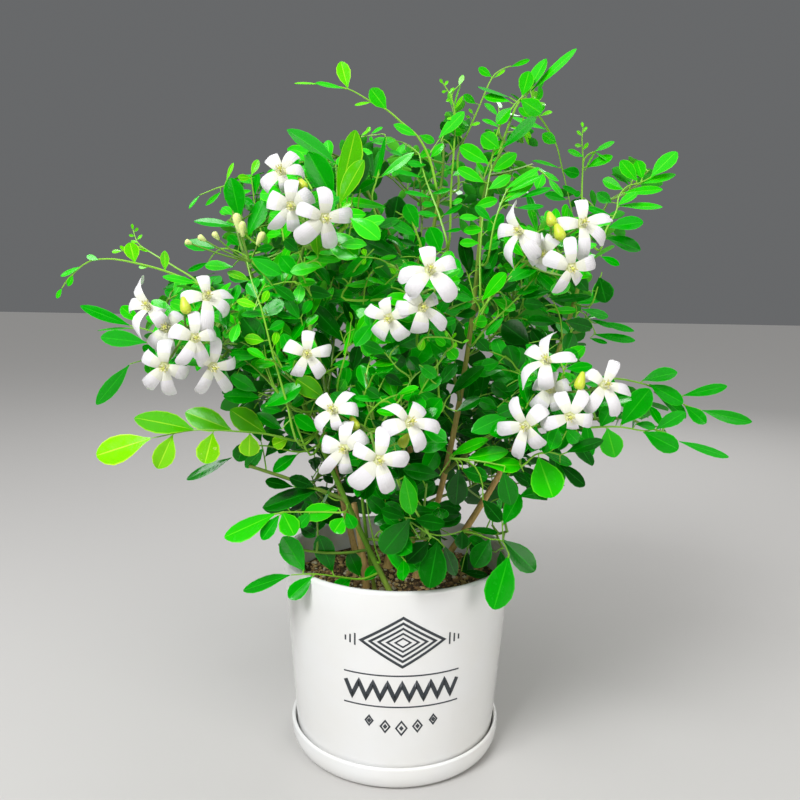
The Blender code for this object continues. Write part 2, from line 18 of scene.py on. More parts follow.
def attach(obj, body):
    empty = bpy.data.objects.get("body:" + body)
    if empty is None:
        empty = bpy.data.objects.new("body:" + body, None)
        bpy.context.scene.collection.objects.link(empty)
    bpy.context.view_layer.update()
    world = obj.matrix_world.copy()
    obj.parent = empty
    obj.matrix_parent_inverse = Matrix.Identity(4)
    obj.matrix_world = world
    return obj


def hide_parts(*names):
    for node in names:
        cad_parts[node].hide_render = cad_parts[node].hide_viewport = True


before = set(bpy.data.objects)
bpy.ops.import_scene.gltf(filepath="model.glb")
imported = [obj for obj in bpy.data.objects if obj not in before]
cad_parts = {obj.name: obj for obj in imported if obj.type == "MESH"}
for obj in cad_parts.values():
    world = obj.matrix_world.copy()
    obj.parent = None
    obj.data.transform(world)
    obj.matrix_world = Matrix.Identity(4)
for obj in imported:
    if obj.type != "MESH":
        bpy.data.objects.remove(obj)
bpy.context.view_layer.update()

# The view: a camera level with the middle of the crown and close to it, looking slightly down. It
# comes first because sprays and flowers that show from the front are placed where it sees them.
MM = 0.001
VIEW_FROM = Vector((0.0, -442.0, 275.0))
VIEW_FOCAL_PX = 740.0
VIEW_SIDE_PX = 800.0
VIEW_DOWN = 0.142
VIEW_ROLL = 0.0175
SENSOR_WIDTH = 36.0


def add_object(name, data):
    """An object of the scene for a mesh, a camera or a lamp."""
    item = bpy.data.objects.new(name, data)
    bpy.context.scene.collection.objects.link(item)
    return item


view_ahead = Vector((0.0, math.cos(VIEW_DOWN), -math.sin(VIEW_DOWN)))
level_right = Vector((1.0, 0.0, 0.0))
level_up = level_right.cross(view_ahead)
view_right = level_right * math.cos(VIEW_ROLL) + level_up * math.sin(VIEW_ROLL)
view_up = level_up * math.cos(VIEW_ROLL) - level_right * math.sin(VIEW_ROLL)
lens = bpy.data.cameras.new("plant_view")
lens.sensor_width = SENSOR_WIDTH
lens.lens = SENSOR_WIDTH * VIEW_FOCAL_PX / VIEW_SIDE_PX
lens.clip_start = 10.0 * MM
camera = add_object("plant_view", lens)
view_turn = Matrix((view_right, view_up, -view_ahead)).transposed().to_4x4()
camera.matrix_world = Matrix.Translation(VIEW_FROM * MM) @ view_turn
bpy.context.scene.camera = camera


def seen_at(across_px, down_px, depth):
    """The point of the upright plane y = depth that the camera sees at a pixel."""
    half = VIEW_SIDE_PX / 2.0
    ray = view_ahead * VIEW_FOCAL_PX + view_right * (across_px - half) + view_up * (half - down_px)
    return VIEW_FROM + ray * ((depth - VIEW_FROM.y) / ray.y)


# Saucer: a shallow dish of white glazed stoneware, jigger-turned, with a rounded lip that stands a
# little clear of the pot. It is one glazed piece, and the pot stands loose in it.
SAUCER_RADIUS = 65.0
SAUCER_TOP = 14.0
SAUCER_FLOOR = 3.0
SAUCER_LIP = 2.3
SAUCER_FOOT = 59.5
SAUCER_SWELL = 10.0
WELL_INSET = 0.9
WELL_CHAMFER = 1.0
TURNED_STEPS = 160


def linear(hex_colour):
    """Linear RGBA of an sRGB hex colour."""
    channels = [int(hex_colour[i : i + 2], 16) / 255.0 for i in (0, 2, 4)]
    return [c / 12.92 if c <= 0.04045 else ((c + 0.055) / 1.055) ** 2.4 for c in channels] + [1.0]


def add_node(tree, kind, props=None, values=None, links=None):
    """Adds a node with its settings, its plain input values and what is linked into it."""
    node = tree.nodes.new(kind)
    for name, value in (props or {}).items():
        setattr(node, name, value)
    for name, value in (values or {}).items():
        node.inputs[name].default_value = value
    for name, socket in (links or {}).items():
        tree.links.new(socket, node.inputs[name])
    return node


def new_material(name, hex_colour, roughness, **values):
    """A Principled material with plain values, returned with its node tree and its shader."""
    material = bpy.data.materials.new(name)
    material.use_nodes = True
    shader = material.node_tree.nodes["Principled BSDF"]
    shader.inputs["Base Color"].default_value = linear(hex_colour)
    shader.inputs["Roughness"].default_value = roughness
    for key, value in values.items():
        shader.inputs[key.replace("_", " ")].default_value = value
    return material, material.node_tree, shader


def uneven(tree, shader, per_metre, detail, tones=None, gloss=None, relief=None):
    """A cloudy pattern, so many patches to the metre, that gives two tones, gloss or relief in mm."""
    place = add_node(tree, "ShaderNodeTexCoord").outputs["Object"]
    values = {"Scale": per_metre, "Detail": detail}
    cloud = add_node(tree, "ShaderNodeTexNoise", values=values, links={"Vector": place})
    pattern = cloud.outputs["Fac"]
    if tones:
        dark, pale = (linear(tone) for tone in tones)
        tint = add_node(tree, "ShaderNodeMix", {"data_type": "RGBA"}, {6: dark, 7: pale}, {0: pattern})
        tree.links.new(tint.outputs[2], shader.inputs["Base Color"])
    if gloss:
        ends = {"From Min": 0.3, "From Max": 0.7, "To Min": gloss[0], "To Max": gloss[1]}
        shine = add_node(tree, "ShaderNodeMapRange", values=ends, links={"Value": pattern})
        tree.links.new(shine.outputs["Result"], shader.inputs["Roughness"])
    if relief:
        values = {"Strength": relief[0], "Distance": relief[1] * MM}
        bumps = add_node(tree, "ShaderNodeBump", values=values, links={"Height": pattern})
        tree.links.new(bumps.outputs["Normal"], shader.inputs["Normal"])
    return pattern


def arc(centre, radii, start, end, count):
    """Points of a round or oval arc, with its angles in degrees from +X."""
    angles = [math.radians(start + (end - start) * i / (count - 1)) for i in range(count)]
    return [(centre[0] + radii[0] * math.cos(a), centre[1] + radii[1] * math.sin(a)) for a in angles]


def turned(name, node, profile):
    """A turned, glazed piece, whose profile runs from the axis, over the top and down the outer side."""
    mesh = bpy.data.meshes.new(name)
    points = [(r * MM, 0.0, z * MM) for r, z in profile]
    mesh.from_pydata(points, [(i, i + 1) for i in range(len(points) - 1)], [])
    mesh.materials.append(glaze)
    piece = add_object(name, mesh)
    turn = piece.modifiers.new("turn", "SCREW")
    turn.axis = "Z"
    turn.steps = TURNED_STEPS
    turn.render_steps = TURNED_STEPS
    turn.use_merge_vertices = True
    turn.merge_threshold = 0.01 * MM
    turn.use_smooth_shade = True
    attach(piece, "root")
    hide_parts(node)


# Glazed stoneware: a white satin glaze gives a soft broad highlight. It is a touch warmer where it
# runs thin, and its surface has the faint orange-peel waves of a fired glaze, some 9 mm apart.
glaze, tree, shader = new_material(
    "white_stoneware_glaze", "E6E6E4", 0.2, IOR=1.5, Coat_Weight=0.35, Coat_Roughness=0.12
)
uneven(tree, shader, 28.0, 3.0, tones=("EAEBEC", "E6E4DE"), gloss=(0.17, 0.27))
uneven(tree, shader, 110.0, 2.0, relief=(0.12, 0.4))

lip_half = SAUCER_LIP / 2.0
saucer_well = SAUCER_RADIUS - SAUCER_LIP - WELL_INSET
well_edge = [(saucer_well - WELL_CHAMFER, SAUCER_FLOOR), (saucer_well, SAUCER_FLOOR + WELL_CHAMFER)]
turned(
    "saucer_dish",
    "saucer",
    [(0.0, SAUCER_FLOOR)]
    + well_edge
    + arc((SAUCER_RADIUS - lip_half, SAUCER_TOP - lip_half), (lip_half, lip_half), 180, 0, 13)
    + arc((SAUCER_FOOT, SAUCER_SWELL), (SAUCER_RADIUS - SAUCER_FOOT, SAUCER_SWELL), 0, -90, 11)
    + [(0.0, 0.0)],
)

# Pot: a round tapered pot of the same glazed stoneware, slip-cast, with a thin rounded rim and a
# thick floor. It stands in the saucer by its own weight.
POT_RIM = 70.0
POT_FOOT = 61.0
POT_TOP = 119.0
POT_BASE = 3.3
POT_WALL = 4.0
POT_FLOOR = 9.3
POT_HEEL = 2.5


def pot_radius(height):
    """Outer radius of the pot's tapered wall at a height."""
    return POT_FOOT + (POT_RIM - POT_FOOT) * (height - POT_BASE) / (POT_TOP - POT_BASE)


wall_half = POT_WALL / 2.0
turned(
    "pot_body",
    "pot",
    [(0.0, POT_FLOOR), (pot_radius(POT_FLOOR) - POT_WALL, POT_FLOOR)]
    + arc((POT_RIM - wall_half, POT_TOP - wall_half), (wall_half, wall_half), 180, 0, 17)
    + [(pot_radius(h), float(h)) for h in range(100, 10, -10)]
    + arc((POT_FOOT - POT_HEEL, POT_BASE + POT_HEEL), (POT_HEEL, POT_HEEL), 0, -90, 7)
    + [(0.0, POT_BASE)],
)

# Print on the pot: a charcoal transfer of plain shapes, fired on the front of the wall: nested
# lozenges, a zigzag band between lines and a row of lozenges. Its film is drawn 0.12 mm thick.
PRINT_LIFT = 0.12
PRINT_SINK = 0.3
PRINT_STEP = 1.4
PRINT_MIDDLE = 3.9
LOZENGE_HEIGHT = 90.0
LOZENGE_RADII = (23.0, 14.5)
LOZENGE_NEST = (1.0, 0.78, 0.57, 0.37, 0.18)
LOZENGE_WIDTH = 1.5
FINE_WIDTH = 0.9
TICK_FROM = 26.5
TICK_EVERY = 2.8
TICK_HALF = 3.5
LINE_HEIGHTS = (51.0, 70.0)
LINE_HALF = 33.0
LINE_WIDTH = 0.8
ZIGZAG_HEIGHTS = (56.0, 65.0)
ZIGZAG_STEP = 4.0
ZIGZAG_WIDTH = 2.4
ROW_HEIGHT = 38.0
ROW_EVERY = 9.0
ROW_RISE = 0.972
ROW_SHRINK = 0.15
ROW_RADII = (3.0, 4.2)
DOT_RADII = (0.7, 0.9)


class Heap:
    """Small shapes gathered for one joined piece, with a material slot for each face."""

    def __init__(self):
        self.points = []
        self.corners = []
        self.sizes = []
        self.slots = []
        self.lines = []
        self.total = 0

    def add(self, points, faces, slots=0, lines=None):
        """Adds a shape, with a slot for it or for each face, and where each point lies among veins."""
        corners, sizes = faces
        self.points.append(np.asarray(points, float).reshape(-1, 3))
        self.corners.append(corners + self.total)
        self.sizes.append(sizes)
        self.slots.append(np.broadcast_to(np.asarray(slots), sizes.shape))
        self.lines.append(np.zeros((len(self.points[-1]), 2)) if lines is None else lines)
        self.total += len(self.points[-1])

    def piece(self, name, materials, sharp_degrees=None):
        """The joined mesh as an object that rides on the plant's one body."""
        mesh = bpy.data.meshes.new(name)
        points = np.concatenate(self.points) * MM
        corners = np.concatenate(self.corners)
        sizes = np.concatenate(self.sizes)
        mesh.vertices.add(len(points))
        mesh.vertices.foreach_set("co", points.astype(np.float32).ravel())
        mesh.loops.add(len(corners))
        mesh.loops.foreach_set("vertex_index", corners.astype(np.int32))
        mesh.polygons.add(len(sizes))
        starts = np.concatenate([[0], np.cumsum(sizes)[:-1]])
        mesh.polygons.foreach_set("loop_start", starts.astype(np.int32))
        mesh.polygons.foreach_set("material_index", np.concatenate(self.slots).astype(np.int32))
        lines = mesh.uv_layers.new(name="lines")
        lines.uv.foreach_set("vector", np.concatenate(self.lines)[corners].astype(np.float32).ravel())
        for material in materials:
            mesh.materials.append(material)
        mesh.update(calc_edges=True)
        mesh.validate()
        if sharp_degrees is not None:
            mesh.shade_smooth()
            mesh.set_sharp_from_angle(angle=math.radians(sharp_degrees))
        piece = add_object(name, mesh)
        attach(piece, "root")
        return piece


def faces_of(rows):
    """Faces as a flat list of corners and the number of corners in each."""
    return np.array([i for row in rows for i in row]), np.array([len(row) for row in rows])


def band_faces(stations, closed):
    """Faces of a ribbon with four corners at each station, with end faces unless it is closed."""
    rows = []
    for i in range(stations if closed else stations - 1):
        after = (i + 1) % stations
        for k in range(4):
            m = (k + 1) % 4
            rows.append((i * 4 + k, after * 4 + k, after * 4 + m, i * 4 + m))
    if not closed:
        rows += [(3, 2, 1, 0), tuple(4 * (stations - 1) + k for k in range(4))]
    return faces_of(rows)


def on_wall(u, v, lift):
    """A point of the pot's front: u runs round the wall to the right, and v is the height."""
    radius = pot_radius(v) + lift
    return (radius * math.sin(u / pot_radius(v)), -radius * math.cos(u / pot_radius(v)), v)


def stroke(heap, corners, width, closed=False):
    """A printed line of an even width through its corners, laid on the wall."""
    line = [Vector(corner) for corner in corners]
    path = []
    for start, end in zip(line, line[1:] + line[:1] if closed else line[1:]):
        steps = max(1, round((end - start).length / PRINT_STEP))
        path += [start.lerp(end, i / steps) for i in range(steps)]
    if not closed:
        path.append(line[-1])
    points = []
    for i, spot in enumerate(path):
        before = path[i - 1] if closed or i else spot
        after = path[(i + 1) % len(path)] if closed or i < len(path) - 1 else spot
        first = (spot - before).normalized() if before != spot else (after - spot).normalized()
        second = (after - spot).normalized() if after != spot else first
        normal = Vector((-(first + second).y, (first + second).x)).normalized()
        square = max(normal.dot(Vector((-second.y, second.x))), 0.5)
        side = normal * (width / 2.0 / square)
        left = spot + side
        right = spot - side
        points += [on_wall(*right, -PRINT_SINK), on_wall(*right, PRINT_LIFT)]
        points += [on_wall(*left, PRINT_LIFT), on_wall(*left, -PRINT_SINK)]
    heap.add(points, band_faces(len(path), closed))


def lozenge(heap, middle, radii, width):
    """A printed lozenge: four corners on an oval."""
    stroke(heap, arc(middle, radii, 0, 270, 4), width, closed=True)


printing = Heap()
for share in LOZENGE_NEST:
    radii = (LOZENGE_RADII[0] * share, LOZENGE_RADII[1] * share)
    lozenge(printing, (PRINT_MIDDLE, LOZENGE_HEIGHT), radii, LOZENGE_WIDTH * (0.5 + share / 2.0))
for side in (-1.0, 1.0):
    for k in range(3):
        u = PRINT_MIDDLE + side * (TICK_FROM + TICK_EVERY * k)
        half = TICK_HALF - k
        stroke(printing, [(u, LOZENGE_HEIGHT - half), (u, LOZENGE_HEIGHT + half)], FINE_WIDTH)
for v in LINE_HEIGHTS:
    stroke(printing, [(PRINT_MIDDLE - LINE_HALF, v), (PRINT_MIDDLE + LINE_HALF, v)], LINE_WIDTH)
zigzag = [(PRINT_MIDDLE + ZIGZAG_STEP * i, ZIGZAG_HEIGHTS[0 if i % 2 else 1]) for i in range(-8, 9)]
stroke(printing, zigzag, ZIGZAG_WIDTH)
for k in range(-2, 3):
    size = 1.0 - ROW_SHRINK * abs(k)
    middle = (PRINT_MIDDLE + ROW_EVERY * k, ROW_HEIGHT + ROW_RISE * k * k)
    lozenge(printing, middle, (ROW_RADII[0] * size, ROW_RADII[1] * size), FINE_WIDTH)
    lozenge(printing, middle, DOT_RADII, FINE_WIDTH)

# Ceramic transfer ink: charcoal, a little duller than the glaze, with a mottle under a millimetre.
ink, tree, shader = new_material("charcoal_transfer", "2C3136", 0.4)
uneven(tree, shader, 1400.0, 3.0, tones=("23282D", "3A4046"))
pot_print = printing.piece("pot_print", [ink])

# Soil: a moist potting mix of peat, bark and grit that fills the pot to 18 mm under the rim, topped
# with loose grit and bark crumbs 1.5 to 4 mm across. Stems stand in it from their flat cut.
SOIL_TOP = 101.0
SOIL_FLOOR = 9.6
SOIL_RADIUS = 64.1
SOIL_GAP = 0.4
MIX_RINGS = 26
MIX_SPOKES = 72
STEM_FEET = ((-2, -44), (-13, -30), (13, -2), (27, 6), (-6, 14), (10, 34), (-26, 18))
STEM_CLEARANCE = 3.4
GRIT_COUNT = 3000
GRIT_SMALL = (0.7, 1.3)
GRIT_LARGE = (1.3, 2.1)
GRIT_SMALL_SHARE = 0.7
GRIT_STRETCH = ((0.7, 1.25), (0.7, 1.25), (0.45, 0.8))
GRIT_TINTS = (
    ("sand_tan", "C0A26A", 0.34),
    ("bark_brown", "8E7048", 0.3),
    ("dark_bark", "4C3B26", 0.24),
    ("pale_pumice", "CFC5A8", 0.12),
)
SOIL_SEED = 7


def soil_height(x, y):
    """Height of the uneven top of the mix, which sinks a little towards the wall."""
    lumps = noise.noise(Vector((x / 14.0, y / 14.0, 0.3))) * 0.9
    crumbs = noise.noise(Vector((x / 5.0, y / 5.0, 4.0))) * 0.4
    return SOIL_TOP - 0.9 + (lumps + crumbs) - 1.2 * (math.hypot(x, y) / SOIL_RADIUS) ** 4


mix = Heap()
turns = [2.0 * math.pi * k / MIX_SPOKES for k in range(MIX_SPOKES)]
points = [(0.0, 0.0, soil_height(0.0, 0.0))]
for i in range(1, MIX_RINGS + 1):
    radius = SOIL_RADIUS * i / MIX_RINGS
    for turn in turns:
        x = radius * math.cos(turn)
        y = radius * math.sin(turn)
        points.append((x, y, soil_height(x, y)))
bottom_radius = pot_radius(SOIL_FLOOR) - POT_WALL - SOIL_GAP
points += [(bottom_radius * math.cos(turn), bottom_radius * math.sin(turn), SOIL_FLOOR) for turn in turns]
rows = []
for k in range(MIX_SPOKES):
    after = (k + 1) % MIX_SPOKES
    rows.append((0, 1 + k, 1 + after))
    for i in range(MIX_RINGS):
        low = 1 + i * MIX_SPOKES
        rows.append((low + k, low + MIX_SPOKES + k, low + MIX_SPOKES + after, low + after))
rows.append(tuple(reversed(range(1 + MIX_RINGS * MIX_SPOKES, 1 + (MIX_RINGS + 1) * MIX_SPOKES))))
mix.add(points, faces_of(rows))

# Peat and composted bark: matt and dark, with crumbs of about 1 mm and paler fibres among them.
peat, tree, shader = new_material("peat_and_bark", "3F2F22", 0.95)
uneven(tree, shader, 220.0, 6.0, tones=("2E2418", "6E5838"))
place = add_node(tree, "ShaderNodeTexCoord").outputs["Object"]
crumbs = add_node(tree, "ShaderNodeTexVoronoi", values={"Scale": 900.0}, links={"Vector": place})
bumps = {"Strength": 0.9, "Distance": 0.8 * MM}
relief = add_node(tree, "ShaderNodeBump", values=bumps, links={"Height": crumbs.outputs["Distance"]})
tree.links.new(relief.outputs["Normal"], shader.inputs["Normal"])
potting_mix = mix.piece("potting_mix", [peat], 60)
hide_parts("soil")

# A grain of grit starts as a stone with twelve corners, whose faces are its closest trios of corners.
GOLD = (1.0 + math.sqrt(5.0)) / 2.0
stone_corners = np.array(
    [(0, s, t * GOLD) for s in (-1, 1) for t in (-1, 1)]
    + [(s, t * GOLD, 0) for s in (-1, 1) for t in (-1, 1)]
    + [(t * GOLD, 0, s) for s in (-1, 1) for t in (-1, 1)],
    float,
) / math.hypot(1.0, GOLD)
stone_rows = []
for a, b, c in itertools.combinations(range(12), 3):
    trio = stone_corners[[a, b, c]]
    if max(np.linalg.norm(trio - np.roll(trio, 1, axis=0), axis=1)) < 1.1:
        outward = np.dot(np.cross(trio[1] - trio[0], trio[2] - trio[0]), trio[0]) > 0
        stone_rows.append((a, b, c) if outward else (a, c, b))
stone_faces = faces_of(stone_rows)

grit = Heap()
draw = random.Random(SOIL_SEED)
shares = [share for _, _, share in GRIT_TINTS]
while grit.total < GRIT_COUNT * len(stone_corners):
    reach = (SOIL_RADIUS - 1.5) * math.sqrt(draw.random())
    turn = draw.uniform(0.0, 2.0 * math.pi)
    x = reach * math.cos(turn)
    y = reach * math.sin(turn)
    if any(math.hypot(x - foot[0], y - foot[1]) <= STEM_CLEARANCE for foot in STEM_FEET):
        continue
    size = draw.uniform(*(GRIT_SMALL if draw.random() < GRIT_SMALL_SHARE else GRIT_LARGE))
    stretch = np.array([draw.uniform(*limits) for limits in GRIT_STRETCH]) * size
    bumps = np.array([draw.uniform(0.78, 1.16) for _ in range(12)])[:, None]
    spin = np.array(Matrix.Rotation(turn * 7.0, 3, "Z") @ Matrix.Rotation(draw.uniform(-0.5, 0.5), 3, "X"))
    where = np.array((x, y, soil_height(x, y) + size * 0.25))
    tone = draw.choices(range(len(shares)), shares)[0]
    grit.add((stone_corners * bumps * stretch) @ spin.T + where, stone_faces, tone)


def grained(tints, roughness, per_metre, detail, relief, **values):
    """Materials that differ only in their colour, with the same fine grain in relief."""
    materials = []
    for name, hex_colour in tints:
        material, tree, shader = new_material(name, hex_colour, roughness, **values)
        uneven(tree, shader, per_metre, detail, relief=relief)
        materials.append(material)
    return materials


# Grit and bark crumbs: sandy tan, brown, dark bark and a few pale grains, all dry and rough, with pits
# of half a millimetre.
grit_tints = [(name + "_grit", hex_colour) for name, hex_colour, _ in GRIT_TINTS]
soil_grit = grit.piece("soil_grit", grained(grit_tints, 0.9, 1800.0, 4.0, (0.7, 0.3)))

# Stems: seven woody stems of one shrub, tan and fissured below and green above, each standing in the
# mix from its flat cut and root flare. Their bark is modelled as ridges, scars and old nodes.
GAP = 0.3
UP = Vector((0.0, 0.0, 1.0))
STEMS = (
    ("stem_left", (-46, -37, 190), (-84, -32, 288), 1.65, 1.0),
    ("stem_slender", (-19, -33, 140), (-21, -48, 178), 1.1, 0.8),
    ("stem_centre", (42, 2, 205), (46, 2, 325), 2.1, 1.1),
    ("stem_right", (98, 26, 205), (112, 22, 296), 2.1, 1.1),
    ("stem_tall", (6, 12, 240), (22, 14, 338), 2.0, 1.0),
    ("stem_back", (4, 62, 200), (12, 80, 308), 2.2, 1.1),
    ("stem_back_left", (-52, 54, 190), (-76, 84, 256), 2.0, 1.0),
)
GREEN_STEMS = ("stem_left", "stem_slender")
STEM_FLARE = ((0.0, 1.75), (1.4, 1.35), (4.0, 1.12))
STEM_POINTS = 60
STEM_SIDES = 16
BARK_RIDGE = 0.1
RIDGE_LENGTH = 26.0
PIT_LENGTH = 3.1
NODE_EVERY = 23.0
NODE_HALF = 1.1
NODE_SWELL = 0.13
FISSURE_STRETCH = 0.16


def bend(start, elbow, end, count):
    """Evenly stepped points of a quadratic curve, with both its ends."""
    steps = [i / (count - 1) for i in range(count)]
    return [start * (1 - t) ** 2 + elbow * (2 * t * (1 - t)) + end * t * t for t in steps]


def ramp(start, end, count):
    """Evenly stepped values from one to another."""
    return [start + (end - start) * i / (count - 1) for i in range(count)]


def stem_path(foot, elbow, tip, radius, tip_radius):
    """Points and radii of a stem, from its flat cut on the soil up through its root flare."""
    base = Vector((foot[0], foot[1], SOIL_TOP + GAP))
    flare = [base + UP * height for height, _ in STEM_FLARE]
    rest = bend(flare[-1], Vector(elbow), Vector(tip), STEM_POINTS)[1:]
    radii = [radius * swell for _, swell in STEM_FLARE]
    return flare + rest, radii + ramp(radius, tip_radius, len(rest))


def wall_rows(stations, sides, base=0):
    """The four-cornered faces round a tube, whose corners are numbered ring by ring."""
    rows = []
    for i in range(stations - 1):
        for k in range(sides):
            low = base + i * sides + k
            low_next = base + i * sides + (k + 1) % sides
            rows.append((low, low_next, low_next + sides, low + sides))
    return rows


@functools.cache
def tube_faces(stations, sides):
    """Faces of a tube with both its ends closed."""
    ends = [tuple(reversed(range(sides))), tuple(range((stations - 1) * sides, stations * sides))]
    return faces_of(wall_rows(stations, sides) + ends)


def tube_points(points, radii, sides, swell=None):
    """Corners of a tapering tube, with swell giving each corner's share of the radius."""
    corners = []
    across = None
    for i, point in enumerate(points):
        along = (points[min(i + 1, len(points) - 1)] - points[max(i - 1, 0)]).normalized()
        lead = across if across is not None else Vector((0.31, 0.17, 0.94)).cross(along)
        across = (lead - along * lead.dot(along)).normalized()
        other = along.cross(across)
        for k in range(sides):
            angle = 2.0 * math.pi * k / sides
            radius = radii[i] * (swell(i, angle) if swell else 1.0)
            corners.append(point + across * (radius * math.cos(angle)) + other * (radius * math.sin(angle)))
    return corners


def add_tube(heap, points, radii, sides, slot=0, swell=None):
    """Adds a closed tapering tube along points."""
    heap.add(tube_points(points, radii, sides, swell), tube_faces(len(points), sides), slot)


def bark_swell(points, seed):
    """Ridges that run up the stem, small pits, and a swollen ring at each old leaf node."""
    travelled = [0.0]
    for before, after in zip(points, points[1:]):
        travelled.append(travelled[-1] + (after - before).length)

    def swell(i, angle):
        up = travelled[i]
        spot = Vector((math.cos(angle) * 1.9, math.sin(angle) * 1.9, up / RIDGE_LENGTH + seed * 5.0))
        fine = Vector((math.cos(angle) * 3.4, math.sin(angle) * 3.4, up / PIT_LENGTH + seed * 9.0))
        ridges = noise.noise(spot) * BARK_RIDGE * 1.3 + noise.noise(fine) * BARK_RIDGE * 0.7
        from_node = (up + seed * 7.0) % NODE_EVERY - NODE_EVERY / 2.0
        return 1.0 + ridges + NODE_SWELL * math.exp(-((from_node / NODE_HALF) ** 2))

    return swell


# Young bark: matt, with pale corky ridges over brown fissures about a millimetre apart. On most stems
# it turns from tan at the foot to green near the top, and the two youngest are green from the foot.
barks = []
for name, tan, green, tan_up_to, green_from in (
    ("jasmine_bark", ("8A6628", "F2CE84"), ("5A781C", "9CBC40"), 165.0, 290.0),
    ("green_jasmine_bark", ("6A7A1C", "A8B84C"), ("427A0C", "7AB028"), 100.0, 130.0),
):
    bark, tree, shader = new_material(name, tan[1], 0.85)
    place = add_node(tree, "ShaderNodeTexCoord").outputs["Object"]
    height = add_node(tree, "ShaderNodeSeparateXYZ", links={"Vector": place}).outputs["Z"]
    stretch = {"Scale": (1.0, 1.0, FISSURE_STRETCH)}
    grain = add_node(tree, "ShaderNodeMapping", values=stretch, links={"Vector": place}).outputs["Vector"]
    cork = {"Scale": 900.0, "Detail": 5.0, "Roughness": 0.65}
    fissures = add_node(tree, "ShaderNodeTexNoise", values=cork, links={"Vector": grain}).outputs["Fac"]
    heights = {"From Min": tan_up_to * MM, "From Max": green_from * MM}
    age = add_node(tree, "ShaderNodeMapRange", values=heights, links={"Value": height}).outputs["Result"]
    woods = []
    for tones in (tan, green):
        values = {6: linear(tones[0]), 7: linear(tones[1])}
        wood = add_node(tree, "ShaderNodeMix", {"data_type": "RGBA"}, values, {0: fissures})
        woods.append(wood.outputs[2])
    tint = add_node(tree, "ShaderNodeMix", {"data_type": "RGBA"}, links={0: age, 6: woods[0], 7: woods[1]})
    tree.links.new(tint.outputs[2], shader.inputs["Base Color"])
    bumps = {"Strength": 0.6, "Distance": 0.4 * MM}
    relief = add_node(tree, "ShaderNodeBump", values=bumps, links={"Height": fissures})
    tree.links.new(relief.outputs["Normal"], shader.inputs["Normal"])
    barks.append(bark)

limbs = {}
for number, (foot, (name, *shape)) in enumerate(zip(STEM_FEET, STEMS), 1):
    points, radii = limbs[name] = stem_path(foot, *shape)
    heap = Heap()
    add_tube(heap, points, radii, STEM_SIDES, swell=bark_swell(points, number))
    piece = heap.piece(name + "_bark", [barks[1 if name in GREEN_STEMS else 0]], 60)
    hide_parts(name)

# Old stub: a dead stem of the shrub, cut off flat some 45 mm above the mix and dried to a bare tan.
# It stands beside the feet of the live stems, and its bark is fissured like theirs.
STUB_FOOT = Vector((-18.0, -20.0, SOIL_TOP - 0.5))
STUB_TOP_PX = (354, 503)
STUB_DEPTH = -22.0
STUB_RADII = (2.1, 1.7)
STUB_POINTS = 16

stub_top = seen_at(*STUB_TOP_PX, STUB_DEPTH)
stub_points = bend(STUB_FOOT, STUB_FOOT.lerp(stub_top, 0.5) + Vector((1.0, 0.0, 0.0)), stub_top, STUB_POINTS)
stub = Heap()
add_tube(stub, stub_points, ramp(*STUB_RADII, STUB_POINTS), STEM_SIDES, swell=bark_swell(stub_points, 9))
old_stub = stub.piece("old_stub", [barks[0]], 60)

# Boughs: nineteen young side limbs, smooth and green, each tapering from a stem's side to the edge of
# its foliage. A mass of foliage has here the stem that carries it, its place along the stem, where 1 is
# the tip, its centre and the radius of its space.
MASSES = (
    ("upper_left_front", "stem_left", 0.78, (-46, -62, 314), 42),
    ("left_front", "stem_left", 0.62, (-103, -62, 254), 42),
    ("inner_left_front", "stem_left", 0.50, (-46, -64, 254), 38),
    ("centre_front", "stem_centre", 0.50, (8, -72, 274), 42),
    ("upper_right_front", "stem_centre", 0.72, (72, -58, 302), 42),
    ("right_front", "stem_centre", 0.30, (82, -58, 226), 44),
    ("low_centre_front", "stem_slender", 1.0, (-12, -78, 206), 42),
    ("low_left", "stem_left", 0.32, (-106, -50, 190), 42),
    ("low_left_rim", "stem_left", 0.17, (-70, -50, 140), 40),
    ("low_front", "stem_slender", 0.45, (14, -72, 150), 40),
    ("low_right_rim", "stem_right", 0.11, (64, -46, 148), 42),
    ("low_back_right", "stem_back", 0.12, (62, 62, 152), 44),
    ("low_back_left", "stem_back_left", 0.14, (-64, 48, 148), 44),
    ("left", "stem_left", 0.84, (-142, -8, 264), 40),
    ("right", "stem_right", 0.48, (148, -6, 208), 40),
    ("right_middle", "stem_right", 0.78, (142, 24, 262), 40),
    ("upper_right", "stem_right", 1.0, (124, 12, 334), 42),
    ("upper_left", "stem_left", 1.0, (-96, -14, 324), 42),
    ("top_left", "stem_tall", 0.74, (-34, 4, 356), 42),
    ("top_centre", "stem_tall", 1.0, (22, 16, 372), 36),
    ("top_right", "stem_centre", 1.0, (64, 2, 368), 40),
    ("top_back", "stem_back", 1.0, (14, 82, 346), 46),
    ("back_right", "stem_back", 0.72, (88, 86, 284), 46),
    ("back_left", "stem_back_left", 1.0, (-82, 92, 292), 46),
    ("back_centre", "stem_back", 0.55, (4, 128, 250), 46),
    ("back_low_right", "stem_back", 0.34, (96, 82, 210), 44),
    ("back_low_left", "stem_back_left", 0.55, (-88, 90, 208), 44),
    ("back_low", "stem_back", 0.22, (2, 112, 172), 42),
    ("left_back", "stem_back_left", 0.80, (-130, 52, 244), 40),
    ("inner_left", "stem_tall", 0.52, (-34, 18, 286), 38),
    ("inner_right", "stem_centre", 0.62, (72, 34, 272), 36),
)
ON_LIMB = ("inner_left_front", "inner_left", "inner_right", "low_front", "low_left_rim")
BOUGH_POINTS = 20
BOUGH_SIDES = 8
BOUGH_FOOT = 1.3
BOUGH_SHARE = 0.8
BOUGH_TIP = 0.9
BOUGH_HEEL = 1.35
